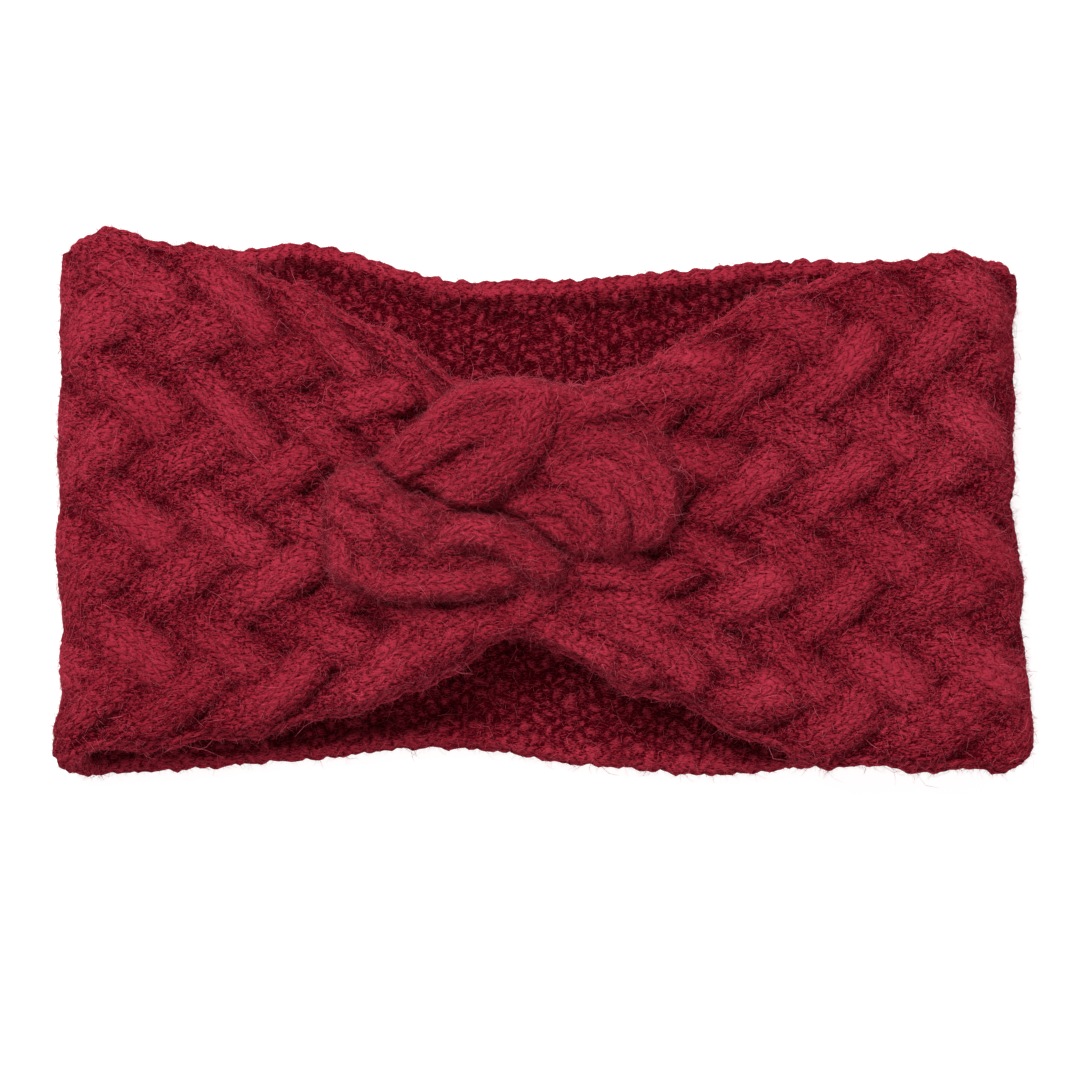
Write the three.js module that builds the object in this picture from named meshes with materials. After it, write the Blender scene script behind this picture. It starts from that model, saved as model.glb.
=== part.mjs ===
// Ear warmer headband, lying flat on a surface.
// A wide cable-knit strip is closed to a ring, and its two ends are folded round each other
// as a soft knot at the middle of the front. Lengths are millimetres. X runs from the wearer's
// right side to the left as the front is seen, Y from the lower rim to the upper, Z up.
import * as THREE from 'three';

// Driving dimensions of the lying ring
const overallWidth = 229;
const overallHeight = 128.4;
const hollowHeight = 9.5;
const knotLift = 2;
const sideFlare = 0.014;
const cornerDip = 1.6;

// Knitted wall
const wallCore = 4.6;
const cableRise = 3;
const restingPress = 1;
const rimRadius = 3.2;
const rimCurl = 1.2;
const rimGroove = 0.8;
const edgePlain = 3;

// Where the edge of the strip changes, as shares of half its width from the middle
const grooveStart = 0.8;
const grooveEnd = 0.88;
const curlStart = 0.86;
const swellStart = 0.93;
const sideStart = 0.6;
const insideShares = [1, swellStart, curlStart, 0.7, 0.4, 0, -0.4, -0.7, -curlStart, -swellStart, -1];

// Cable plait: rows of crossings across the strip, and the length from one crossing to the next.
// One crossing shows one strand as an oval. Its half width and its climb are shares of a row, its
// reaches shares of the pitch: it is tucked under at its left end and blunt at its right end.
const cableRows = 8;
const cablePitch = 21.7;
const cablesRound = 22;
const crossingX = -94;
const foldPitches = 1.6;
const strandHalfWidth = 0.56;
const strandClimb = 1.22;
const tuckedReach = 0.66;
const bluntReach = 0.52;

// Knot
const gatheredCore = 8;
const gatherArch = 2.5;
const knotWidth = 88;
const knotHeight = 58;
const knotCentreX = -8;
const knotCentreY = 0.5;
const foldRise = 10;
const foldBed = 0.55;
const valleyWidth = 1.6;
const foldEdge = 3.4;
const leastRise = 0.4;
const pieceGap = 0.3;

// Fineness of the faceted surface
const cellsPerPitch = 5;
const cellsPerRow = 3;
const foldArcCells = 7;
const rimCells = 4;
const creaseSteps = 18;
const lobeRimSteps = 34;
const lobeRings = 12;
const strandSteps = 24;

// Front layer, from left to right. x is a share of half the width, top and foot are shares of
// half the height, lift and gather are shares of what the knot adds to the height and the wall.
const frontRows = [
  { x: -0.90, top: 1.003, foot: -0.915, lift: 0.00, gather: 0.00, arch: 0.00 },
  { x: -0.84, top: 0.985, foot: -0.910, lift: 0.02, gather: 0.00, arch: 0.06 },
  { x: -0.70, top: 0.938, foot: -0.882, lift: 0.10, gather: 0.05, arch: 0.20 },
  { x: -0.56, top: 0.826, foot: -0.850, lift: 0.25, gather: 0.15, arch: 0.40 },
  { x: -0.42, top: 0.712, foot: -0.784, lift: 0.50, gather: 0.40, arch: 0.70 },
  { x: -0.28, top: 0.584, foot: -0.708, lift: 0.80, gather: 0.80, arch: 1.00 },
  { x: -0.16, top: 0.450, foot: -0.600, lift: 1.00, gather: 1.00, arch: 1.00 },
  { x: -0.04, top: 0.440, foot: -0.490, lift: 1.00, gather: 1.00, arch: 1.00 },
  { x: 0.08, top: 0.412, foot: -0.600, lift: 1.00, gather: 1.00, arch: 1.00 },
  { x: 0.16, top: 0.470, foot: -0.680, lift: 0.95, gather: 0.95, arch: 1.00 },
  { x: 0.28, top: 0.574, foot: -0.742, lift: 0.80, gather: 0.80, arch: 1.00 },
  { x: 0.42, top: 0.734, foot: -0.870, lift: 0.50, gather: 0.40, arch: 0.70 },
  { x: 0.56, top: 0.808, foot: -0.960, lift: 0.25, gather: 0.15, arch: 0.40 },
  { x: 0.70, top: 0.878, foot: -0.970, lift: 0.10, gather: 0.05, arch: 0.20 },
  { x: 0.84, top: 0.908, foot: -0.978, lift: 0.02, gather: 0.00, arch: 0.06 },
  { x: 0.90, top: 0.890, foot: -0.975, lift: 0.00, gather: 0.00, arch: 0.00 },
];

// Back layer, in the same shares. It rests flat, so it has no lift, gather or arch.
const backRows = [
  { x: -0.90, top: 0.930, foot: -1.000 },
  { x: -0.70, top: 0.932, foot: -0.966 },
  { x: -0.56, top: 0.932, foot: -0.950 },
  { x: -0.42, top: 0.897, foot: -0.934 },
  { x: -0.30, top: 0.856, foot: -0.904 },
  { x: -0.20, top: 0.797, foot: -0.898 },
  { x: -0.08, top: 0.806, foot: -0.915 },
  { x: 0.04, top: 0.810, foot: -0.955 },
  { x: 0.16, top: 0.828, foot: -0.973 },
  { x: 0.28, top: 0.850, foot: -0.990 },
  { x: 0.42, top: 0.848, foot: -0.998 },
  { x: 0.56, top: 0.878, foot: -0.974 },
  { x: 0.70, top: 0.865, foot: -0.955 },
  { x: 0.90, top: 0.845, foot: -0.940 },
];

// How far the two sides of the ring stand out. x is the height as a share of half the height.
const sideRows = [
  { x: -1.00, left: 2.6, right: 2.6 },
  { x: -0.85, left: 2.2, right: 2.4 },
  { x: -0.70, left: 1.0, right: 2.0 },
  { x: -0.30, left: 1.0, right: 0.0 },
  { x: 0.00, left: 1.2, right: -1.2 },
  { x: 0.40, left: 1.6, right: -0.4 },
  { x: 0.75, left: 2.2, right: 1.0 },
  { x: 1.00, left: 2.4, right: 1.4 },
];

// Crease between the two folded ends, from the left tip of the upper lobe to its right foot.
// x and y are shares of half the knot's width and height, from the knot's centre.
const creaseRows = [
  { x: -0.725, y: 0.307 },
  { x: -0.555, y: 0.079 },
  { x: -0.425, y: 0.062 },
  { x: -0.310, y: -0.066 },
  { x: -0.148, y: -0.097 },
  { x: 0.007, y: -0.131 },
  { x: 0.218, y: -0.348 },
  { x: 0.348, y: -0.469 },
];

// Rest of the upper lobe's outline, from the crease's right end round to its left tip
const upperRows = [
  { x: 0.577, y: -0.455 },
  { x: 0.836, y: -0.324 },
  { x: 0.927, y: 0.000 },
  { x: 0.930, y: 0.300 },
  { x: 0.780, y: 0.620 },
  { x: 0.480, y: 0.860 },
  { x: 0.277, y: 0.928 },
  { x: 0.064, y: 0.980 },
  { x: -0.095, y: 0.965 },
  { x: -0.250, y: 0.903 },
  { x: -0.361, y: 0.806 },
  { x: -0.480, y: 0.631 },
  { x: -0.575, y: 0.524 },
];

// Rest of the lower lobe's outline, from the crease's right end round to its left end
const lowerRows = [
  { x: 0.300, y: -0.620 },
  { x: 0.150, y: -0.740 },
  { x: -0.041, y: -0.810 },
  { x: -0.309, y: -0.824 },
  { x: -0.575, y: -0.852 },
  { x: -0.789, y: -0.727 },
  { x: -0.932, y: -0.607 },
  { x: -0.975, y: -0.324 },
  { x: -0.960, y: 0.020 },
  { x: -0.900, y: 0.240 },
];

// Strands that show in the upper lobe, and then in the lower one. width is a share of the knot's
// height and depth of the folds' rise. x and y are shares of half the knot's width and height,
// and level, the height of the strand's middle over the gathered strip, is a share of the rise.
const upperStrands = [
  {
    width: 0.146,
    depth: 0.85,
    rows: [
      { x: -0.681, y: 0.306, level: 0.12 },
      { x: -0.586, y: 0.476, level: 0.28 },
      { x: -0.442, y: 0.638, level: 0.42 },
      { x: -0.298, y: 0.767, level: 0.52 },
      { x: -0.122, y: 0.856, level: 0.58 },
      { x: 0.065, y: 0.880, level: 0.60 },
      { x: 0.235, y: 0.832, level: 0.52 },
      { x: 0.395, y: 0.743, level: 0.32 },
    ],
  },
  {
    width: 0.113,
    depth: 0.70,
    rows: [
      { x: -0.617, y: 0.241, level: 0.18 },
      { x: -0.468, y: 0.427, level: 0.38 },
      { x: -0.308, y: 0.581, level: 0.48 },
      { x: -0.149, y: 0.678, level: 0.52 },
      { x: -0.010, y: 0.735, level: 0.54 },
    ],
  },
  {
    width: 0.097,
    depth: 0.80,
    rows: [
      { x: -0.564, y: 0.217, level: 0.24 },
      { x: -0.415, y: 0.347, level: 0.46 },
      { x: -0.250, y: 0.484, level: 0.56 },
      { x: -0.117, y: 0.549, level: 0.58 },
      { x: 0.011, y: 0.646, level: 0.56 },
    ],
  },
  {
    width: 0.154,
    depth: 0.95,
    rows: [
      { x: -0.378, y: 0.023, level: 0.20 },
      { x: -0.276, y: 0.201, level: 0.46 },
      { x: -0.138, y: 0.355, level: 0.60 },
      { x: -0.005, y: 0.500, level: 0.68 },
      { x: 0.075, y: 0.646, level: 0.72 },
      { x: 0.118, y: 0.791, level: 0.60 },
    ],
  },
  {
    width: 0.137,
    depth: 0.90,
    rows: [
      { x: -0.234, y: -0.066, level: 0.22 },
      { x: -0.101, y: 0.047, level: 0.42 },
      { x: 0.027, y: 0.193, level: 0.56 },
      { x: 0.129, y: 0.363, level: 0.66 },
      { x: 0.176, y: 0.557, level: 0.68 },
      { x: 0.198, y: 0.743, level: 0.56 },
    ],
  },
  {
    width: 0.154,
    depth: 0.75,
    rows: [
      { x: 0.256, y: 0.759, level: 0.40 },
      { x: 0.374, y: 0.670, level: 0.42 },
      { x: 0.512, y: 0.581, level: 0.40 },
      { x: 0.651, y: 0.484, level: 0.28 },
    ],
  },
  {
    width: 0.137,
    depth: 0.85,
    rows: [
      { x: 0.230, y: 0.347, level: 0.40 },
      { x: 0.358, y: 0.427, level: 0.52 },
      { x: 0.502, y: 0.444, level: 0.56 },
      { x: 0.651, y: 0.355, level: 0.56 },
      { x: 0.773, y: 0.209, level: 0.52 },
      { x: 0.832, y: 0.015, level: 0.48 },
      { x: 0.832, y: -0.203, level: 0.40 },
      { x: 0.784, y: -0.389, level: 0.24 },
    ],
  },
  {
    width: 0.146,
    depth: 0.85,
    rows: [
      { x: 0.278, y: 0.201, level: 0.40 },
      { x: 0.438, y: 0.250, level: 0.54 },
      { x: 0.587, y: 0.169, level: 0.60 },
      { x: 0.693, y: 0.007, level: 0.58 },
      { x: 0.720, y: -0.203, level: 0.50 },
      { x: 0.683, y: -0.397, level: 0.30 },
    ],
  },
  {
    width: 0.137,
    depth: 0.95,
    rows: [
      { x: 0.384, y: 0.112, level: 0.42 },
      { x: 0.480, y: 0.056, level: 0.62 },
      { x: 0.550, y: -0.074, level: 0.70 },
      { x: 0.571, y: -0.252, level: 0.64 },
      { x: 0.544, y: -0.430, level: 0.34 },
    ],
  },
  {
    width: 0.121,
    depth: 0.80,
    rows: [
      { x: 0.033, y: -0.098, level: 0.24 },
      { x: 0.171, y: -0.017, level: 0.42 },
      { x: 0.310, y: -0.050, level: 0.50 },
      { x: 0.406, y: -0.195, level: 0.50 },
      { x: 0.438, y: -0.405, level: 0.30 },
    ],
  },
  {
    width: 0.113,
    depth: 0.70,
    rows: [
      { x: 0.065, y: -0.211, level: 0.18 },
      { x: 0.203, y: -0.211, level: 0.32 },
      { x: 0.310, y: -0.292, level: 0.36 },
      { x: 0.374, y: -0.413, level: 0.24 },
    ],
  },
];

const lowerStrands = [
  {
    width: 0.186,
    depth: 0.95,
    rows: [
      { x: -0.873, y: 0.185, level: 0.24 },
      { x: -0.799, y: 0.144, level: 0.44 },
      { x: -0.703, y: 0.072, level: 0.46 },
      { x: -0.617, y: -0.025, level: 0.28 },
    ],
  },
  {
    width: 0.162,
    depth: 0.75,
    rows: [
      { x: -0.884, y: -0.066, level: 0.22 },
      { x: -0.815, y: -0.163, level: 0.30 },
      { x: -0.713, y: -0.260, level: 0.24 },
    ],
  },
  {
    width: 0.178,
    depth: 1.00,
    rows: [
      { x: -0.660, y: -0.187, level: 0.30 },
      { x: -0.564, y: -0.139, level: 0.52 },
      { x: -0.468, y: -0.139, level: 0.52 },
      { x: -0.383, y: -0.219, level: 0.28 },
    ],
  },
  {
    width: 0.170,
    depth: 1.00,
    rows: [
      { x: -0.362, y: -0.333, level: 0.32 },
      { x: -0.244, y: -0.292, level: 0.50 },
      { x: -0.095, y: -0.316, level: 0.52 },
      { x: 0.006, y: -0.405, level: 0.40 },
      { x: 0.038, y: -0.502, level: 0.20 },
    ],
  },
  {
    width: 0.137,
    depth: 0.90,
    rows: [
      { x: -0.884, y: -0.365, level: 0.22 },
      { x: -0.879, y: -0.502, level: 0.40 },
      { x: -0.831, y: -0.632, level: 0.30 },
    ],
  },
  {
    width: 0.097,
    depth: 0.70,
    rows: [
      { x: -0.777, y: -0.454, level: 0.18 },
      { x: -0.745, y: -0.599, level: 0.28 },
      { x: -0.703, y: -0.729, level: 0.12 },
    ],
  },
  {
    width: 0.121,
    depth: 0.60,
    rows: [
      { x: -0.713, y: -0.405, level: 0.14 },
      { x: -0.564, y: -0.462, level: 0.18 },
      { x: -0.362, y: -0.502, level: 0.18 },
    ],
  },
  {
    width: 0.137,
    depth: 0.85,
    rows: [
      { x: -0.692, y: -0.704, level: 0.14 },
      { x: -0.548, y: -0.688, level: 0.32 },
      { x: -0.362, y: -0.680, level: 0.36 },
      { x: -0.175, y: -0.648, level: 0.34 },
      { x: -0.015, y: -0.599, level: 0.26 },
    ],
  },
  {
    width: 0.154,
    depth: 0.90,
    rows: [
      { x: 0.059, y: -0.397, level: 0.34 },
      { x: 0.171, y: -0.462, level: 0.46 },
      { x: 0.256, y: -0.575, level: 0.44 },
      { x: 0.267, y: -0.729, level: 0.24 },
    ],
  },
];

// Levels worked out from the wall: the back rests with its cables pressed flat
const halfWidth = overallWidth / 2;
const halfHeight = overallHeight / 2;
const backGroove = cableRise - restingPress;
const backMiddle = backGroove + wallCore / 2;
const frontInner = backGroove + wallCore + hollowHeight;
const frontMiddle = frontInner + wallCore / 2;
const foldRadius = (frontMiddle - backMiddle) / 2;
const foldCentreX = halfWidth / (1 + sideFlare) - cableRise - wallCore / 2 - foldRadius;
const seatLevel = frontInner + knotLift + gatheredCore + gatherArch;
const knotSeatHalfWidth = knotWidth / 2 + cablePitch / 2;

// Smooth value of a column between two rows of a table ordered by x
function along(rows, column, x) {
  const last = rows.length - 1;
  const at = THREE.MathUtils.clamp(x, rows[0].x, rows[last].x);
  let i = 0;
  while (i < last - 1 && at > rows[i + 1].x) {
    i += 1;
  }
  const span = rows[i + 1].x - rows[i].x;
  const share = (at - rows[i].x) / span;
  const before = rows[Math.max(i - 1, 0)];
  const after = rows[Math.min(i + 2, last)];
  const startSlope = (rows[i + 1][column] - before[column]) / (rows[i + 1].x - before.x) * span;
  const endSlope = (after[column] - rows[i][column]) / (after.x - rows[i].x) * span;
  const square = share * share;
  const cube = square * share;
  return (2 * cube - 3 * square + 1) * rows[i][column]
    + (cube - 2 * square + share) * startSlope
    + (3 * square - 2 * cube) * rows[i + 1][column]
    + (cube - square) * endSlope;
}

// Stations round the ring: the middle of the wall at each, its outward direction and its edges
function frontStation(x) {
  const share = x / halfWidth;
  const gather = along(frontRows, 'gather', share);
  const core = wallCore + (gatheredCore - wallCore) * gather;
  const inner = frontInner + knotLift * along(frontRows, 'lift', share);
  return {
    x,
    z: inner + core / 2,
    outX: 0,
    outZ: 1,
    core,
    arch: gatherArch * along(frontRows, 'arch', share),
    top: halfHeight * along(frontRows, 'top', share),
    foot: halfHeight * along(frontRows, 'foot', share),
  };
}

function backStation(x) {
  const share = x / halfWidth;
  return {
    x,
    z: backMiddle,
    outX: 0,
    outZ: -1,
    core: wallCore,
    arch: 0,
    top: halfHeight * along(backRows, 'top', share),
    foot: halfHeight * along(backRows, 'foot', share),
  };
}

// Side fold: a half circle between the layers. turn runs from 0 at the front to 1 at the back.
function foldStation(side, turn) {
  const front = frontStation(side * foldCentreX);
  const back = backStation(side * foldCentreX);
  const angle = Math.PI * turn;
  const blend = (1 - Math.cos(angle)) / 2;
  const dip = cornerDip * Math.sin(angle);
  const middle = (frontMiddle + backMiddle) / 2;
  return {
    x: side * (foldCentreX + foldRadius * Math.sin(angle)),
    z: middle + foldRadius * Math.cos(angle),
    outX: side * Math.sin(angle),
    outZ: Math.cos(angle),
    core: wallCore,
    arch: 0,
    top: THREE.MathUtils.lerp(front.top, back.top, blend) - dip,
    foot: THREE.MathUtils.lerp(front.foot, back.foot, blend) + dip / 2,
  };
}

// Stations from the left end of the front, each with the crossings passed so far
function ringStations() {
  const runCells = Math.round(2 * foldCentreX / cablePitch * cellsPerPitch);
  const start = -(crossingX + foldCentreX) / cablePitch;
  const frontEnd = start + 2 * foldCentreX / cablePitch;
  const backStart = frontEnd + foldPitches;
  const backEnd = start + cablesRound - foldPitches;
  const stations = [];
  const add = (station, from, to, share) => {
    stations.push({ ...station, crossings: THREE.MathUtils.lerp(from, to, share) });
  };
  for (let i = 0; i < runCells; i += 1) {
    add(frontStation(foldCentreX * (2 * i / runCells - 1)), start, frontEnd, i / runCells);
  }
  for (let i = 0; i < foldArcCells; i += 1) {
    add(foldStation(1, i / foldArcCells), frontEnd, backStart, i / foldArcCells);
  }
  for (let i = 0; i < runCells; i += 1) {
    add(backStation(foldCentreX * (1 - 2 * i / runCells)), backStart, backEnd, i / runCells);
  }
  for (let i = 0; i < foldArcCells; i += 1) {
    const share = i / foldArcCells;
    add(foldStation(-1, 1 - share), backEnd, start + cablesRound, share);
  }
  return stations;
}

// Rise of the plait, from 0 in a groove to 1 on a strand, at a place told in whole crossings.
// Rows lean down to the right and up to the right in turn, half a crossing apart.
function plaitRise(crossings, acrossInRows, rowHeight) {
  let rise = 0;
  const slope = strandClimb * rowHeight / cablePitch;
  const cosine = 1 / Math.hypot(1, slope);
  const nearRow = Math.floor(acrossInRows);
  for (let row = nearRow - 1; row <= nearRow + 1; row += 1) {
    if (row < 0 || row >= cableRows) {
      continue;
    }
    const lean = row % 2 === 0 ? slope : -slope;
    const offset = row % 2 === 0 ? 0 : 0.5;
    const nearest = Math.round(crossings - offset);
    for (let crossing = nearest - 1; crossing <= nearest + 1; crossing += 1) {
      const right = (crossings - offset - crossing) * cablePitch;
      const down = (acrossInRows - row - 0.5) * rowHeight;
      const run = (right + lean * down) * cosine * cosine / cablePitch;
      const aside = (down - lean * right) * cosine / rowHeight;
      const end = run < 0 ? Math.abs(run / tuckedReach) ** 1.7 : (run / bluntReach) ** 3.4;
      const strand = 1 - Math.abs(aside / strandHalfWidth) ** 2.3 - end;
      if (strand > 0) {
        rise = Math.max(rise, Math.sqrt(strand));
      }
    }
  }
  return rise;
}

// One point of a section. across runs from -1 at the lower rim to 1 at the upper rim, and out is
// the distance from the middle of the wall. The middle arches out and curls in at the rims.
function wallPoint(station, across, out) {
  const topCentre = station.top - rimRadius;
  const footCentre = station.foot + rimRadius;
  const curl = rimCurl * THREE.MathUtils.smoothstep(Math.abs(across), curlStart, 1);
  const away = out + station.arch * (1 - across * across) - curl;
  const y = THREE.MathUtils.lerp(footCentre, topCentre, (across + 1) / 2);
  return placePoint(station, y, away);
}

// The ring widens a little towards its lower rim, and the cables are pressed flat where it rests
// and where the folded ends lie on it.
function placePoint(station, y, away) {
  const share = y / halfHeight;
  const level = (station.x + station.outX * away) * (1 - sideFlare * share);
  const atSide = THREE.MathUtils.smoothstep(Math.abs(level), sideStart * foldCentreX, foldCentreX);
  const x = level + atSide * (level < 0 ? -along(sideRows, 'left', share) : along(sideRows, 'right', share));
  let z = Math.max(0, station.z + station.outZ * away);
  if (station.outZ === 1 && Math.abs(x - knotCentreX) < knotSeatHalfWidth) {
    z = Math.min(z, seatLevel);
  }
  return new THREE.Vector3(x, y, z);
}

function halfWall(station, across) {
  const edge = Math.abs(across);
  const swell = THREE.MathUtils.smoothstep(edge, swellStart, 1);
  const groove = rimGroove * THREE.MathUtils.smoothstep(edge, grooveStart, grooveEnd) * (1 - swell);
  return THREE.MathUtils.lerp(station.core / 2, rimRadius, swell) - groove;
}

function rimPoints(station, side) {
  const points = [];
  const centreY = side > 0 ? station.top - rimRadius : station.foot + rimRadius;
  for (let i = 1; i < rimCells; i += 1) {
    const angle = Math.PI * (i / rimCells - 0.5);
    const out = -side * rimRadius * Math.sin(angle);
    points.push(placePoint(station, centreY + side * rimRadius * Math.cos(angle), out - rimCurl));
  }
  return points;
}

// Closed section at one station: outside from the lower rim up, the upper rim, the inside down
function sectionLoop(station) {
  const loop = [];
  const width = station.top - station.foot - 2 * rimRadius;
  const plain = edgePlain / width * 2;
  const rowsShown = cableRows * cellsPerRow;
  const rowHeight = (width - edgePlain * 2) / cableRows;
  loop.push(wallPoint(station, -1, halfWall(station, -1)));
  for (let i = 0; i <= rowsShown; i += 1) {
    const across = -1 + plain + (2 - 2 * plain) * i / rowsShown;
    const inRows = cableRows * (1 - i / rowsShown);
    const rise = cableRise * plaitRise(station.crossings, inRows, rowHeight);
    loop.push(wallPoint(station, across, halfWall(station, across) + rise));
  }
  loop.push(wallPoint(station, 1, halfWall(station, 1)));
  loop.push(...rimPoints(station, 1));
  for (const across of insideShares) {
    loop.push(wallPoint(station, across, -halfWall(station, across)));
  }
  loop.push(...rimPoints(station, -1));
  return loop;
}

// Triangles between closed loops of equal length, the last loop joined to the first if ringed
function skinLoops(loops, ringed) {
  const count = loops[0].length;
  const positions = loops.flat().flatMap((point) => point.toArray());
  const indices = [];
  const strips = ringed ? loops.length : loops.length - 1;
  for (let i = 0; i < strips; i += 1) {
    const next = (i + 1) % loops.length;
    for (let j = 0; j < count; j += 1) {
      const a = i * count + j;
      const b = i * count + (j + 1) % count;
      const c = next * count + (j + 1) % count;
      const d = next * count + j;
      const flat = loops[i][j].distanceTo(loops[next][(j + 1) % count])
        < loops[i][(j + 1) % count].distanceTo(loops[next][j]);
      if (flat) {
        indices.push(a, c, b, a, d, c);
      } else {
        indices.push(a, d, b, b, d, c);
      }
    }
  }
  return { positions, indices };
}

function geometryFrom(positions, indices) {
  const geometry = new THREE.BufferGeometry();
  geometry.setAttribute('position', new THREE.Float32BufferAttribute(positions, 3));
  geometry.setIndex(indices);
  geometry.computeVertexNormals();
  return geometry;
}

function bandGeometry() {
  const loops = ringStations().map(sectionLoop);
  const skin = skinLoops(loops, true);
  return geometryFrom(skin.positions, skin.indices);
}

// Outline of a lobe: the crease, shifted to the lobe's own side by the gap, then its own rim
function lobeOutline(side, ownRows) {
  const place = (row) => new THREE.Vector3(
    knotCentreX + row.x * knotWidth / 2,
    knotCentreY + row.y * knotHeight / 2,
    0,
  );
  const crease = creaseRows.map(place).map((point) => point.setY(point.y + side * pieceGap));
  const rim = [crease[crease.length - 1], ...ownRows.map(place), crease[0]];
  const creaseCurve = new THREE.CatmullRomCurve3(crease, false, 'centripetal');
  const rimCurve = new THREE.CatmullRomCurve3(rim, false, 'centripetal');
  const outline = [
    ...creaseCurve.getPoints(creaseSteps).slice(0, -1),
    ...rimCurve.getPoints(lobeRimSteps).slice(0, -1),
  ];
  return side > 0 ? outline : outline.reverse();
}

// Middle line of a strand, in millimetres, with its level as the third coordinate
function strandLine(strand) {
  const points = strand.rows.map((row) => new THREE.Vector3(
    knotCentreX + row.x * knotWidth / 2,
    knotCentreY + row.y * knotHeight / 2,
    row.level * foldRise,
  ));
  return new THREE.CatmullRomCurve3(points, false, 'centripetal').getPoints(strandSteps);
}

// Height of the strands at a place of the lobe, over a bed, with soft valleys between them
function laidHeight(strands, lines, point, bed) {
  let height = bed;
  strands.forEach((strand, i) => {
    const reach = strand.width * knotHeight / 2;
    let nearest = lines[i][0];
    let away = Infinity;
    for (const step of lines[i]) {
      const distance = Math.hypot(step.x - point.x, step.y - point.y);
      if (distance < away) {
        away = distance;
        nearest = step;
      }
    }
    const bow = Math.sqrt(Math.max(0, 1 - (away / reach) ** 2.2));
    const beyond = 2 * Math.max(0, away - reach);
    const top = nearest.z + strand.depth * foldRise / 2 * bow - beyond;
    const valley = Math.max(0, valleyWidth - Math.abs(top - height)) ** 2 / (4 * valleyWidth);
    height = Math.max(height, top) + valley;
  });
  return height;
}

// Lobe of the knot: strands laid on a cushion over its outline, flat on the gathered band
function lobeGeometry(side, ownRows, centreRow, strands) {
  const outline = lobeOutline(side, ownRows);
  const lines = strands.map(strandLine);
  const centre = new THREE.Vector3(
    knotCentreX + centreRow.x * knotWidth / 2,
    knotCentreY + centreRow.y * knotHeight / 2,
    0,
  );
  const bottom = seatLevel + pieceGap;
  const heightAt = (point, reach, radius) => {
    const bed = foldBed * foldRise * Math.sqrt(Math.max(0, 1 - reach ** 3));
    const inset = Math.min(1, (1 - reach) * radius / foldEdge);
    const edge = Math.sqrt(1 - (1 - inset) ** 2);
    return bottom + Math.max(leastRise, laidHeight(strands, lines, point, bed)) * edge;
  };
  const positions = [];
  const rings = [];
  for (let ring = 1; ring <= lobeRings; ring += 1) {
    const reach = Math.sin(Math.PI / 2 * ring / lobeRings);
    rings.push(positions.length / 3);
    for (const edge of outline) {
      const point = centre.clone().lerp(edge, reach);
      positions.push(point.x, point.y, heightAt(point, reach, centre.distanceTo(edge)));
    }
  }
  const crown = positions.length / 3;
  const base = crown + 1;
  positions.push(centre.x, centre.y, heightAt(centre, 0, foldRise));
  positions.push(centre.x, centre.y, bottom);
  const count = outline.length;
  const indices = [];
  for (let j = 0; j < count; j += 1) {
    const next = (j + 1) % count;
    indices.push(crown, rings[0] + j, rings[0] + next);
    for (let ring = 0; ring < lobeRings - 1; ring += 1) {
      const inner = rings[ring];
      const outer = rings[ring + 1];
      indices.push(inner + j, outer + j, outer + next);
      indices.push(inner + j, outer + next, inner + next);
    }
    const rim = rings[lobeRings - 1];
    indices.push(base, rim + next, rim + j);
  }
  return geometryFrom(positions, indices);
}

function knitMaterial(colour) {
  return new THREE.MeshStandardMaterial({ color: colour, roughness: 0.95, metalness: 0 });
}

function namedMesh(name, geometry, colour) {
  const mesh = new THREE.Mesh(geometry, knitMaterial(colour));
  mesh.name = name;
  return mesh;
}

const headband = new THREE.Group();
headband.add(namedMesh('band', bandGeometry(), 0x7c1b29));
headband.add(namedMesh(
  'right_end_fold',
  lobeGeometry(1, upperRows, { x: 0.2, y: 0.35 }, upperStrands),
  0x8a2131,
));
headband.add(namedMesh(
  'left_end_fold',
  lobeGeometry(-1, lowerRows, { x: -0.42, y: -0.36 }, lowerStrands),
  0x822030,
));

export default headband;
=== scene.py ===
"""Ear warmer headband, lying flat: a cable-knit ring with a knot of two folded ends."""

import logging
import math
from dataclasses import dataclass, field
from enum import Enum
from typing import NamedTuple

import bmesh
import bpy
import numpy as np
from bpy.types import ID, Material, Mesh, Node, NodeSocket, Object
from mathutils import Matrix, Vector


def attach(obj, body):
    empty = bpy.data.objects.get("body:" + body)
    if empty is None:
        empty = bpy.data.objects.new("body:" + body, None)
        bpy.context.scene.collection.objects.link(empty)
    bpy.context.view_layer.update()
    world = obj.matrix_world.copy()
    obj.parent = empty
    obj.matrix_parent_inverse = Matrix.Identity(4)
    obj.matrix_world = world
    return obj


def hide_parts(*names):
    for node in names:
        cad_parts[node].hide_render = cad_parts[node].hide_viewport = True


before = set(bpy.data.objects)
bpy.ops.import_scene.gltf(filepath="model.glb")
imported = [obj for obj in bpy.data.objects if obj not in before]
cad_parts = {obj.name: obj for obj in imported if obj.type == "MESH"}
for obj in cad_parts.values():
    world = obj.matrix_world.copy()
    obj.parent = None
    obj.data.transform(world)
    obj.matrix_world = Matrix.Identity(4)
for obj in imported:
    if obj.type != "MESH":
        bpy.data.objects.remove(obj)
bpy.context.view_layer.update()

log = logging.getLogger("headband")

MM = 0.001
Array = np.ndarray
Colour = tuple[float, float, float, float]
# A face over which the stitch map steps by more than this many stitches lies between two strands.
OTHER_STRAND = 0.8


class Face(Enum):
    """Which side of the knitting a stretch of the surface shows."""

    KNIT = 0
    PURL = 1


class FrontRow(NamedTuple):
    """One row of the front layer. x is a share of half the width, top and foot of half the height."""

    x: float
    top: float
    foot: float
    lift: float
    gather: float
    arch: float


class BackRow(NamedTuple):
    """One row of the back layer, in the same shares."""

    x: float
    top: float
    foot: float


class SideRow(NamedTuple):
    """How far the ring's two sides stand out, in millimetres. x is the height as a share."""

    x: float
    left: float
    right: float


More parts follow.
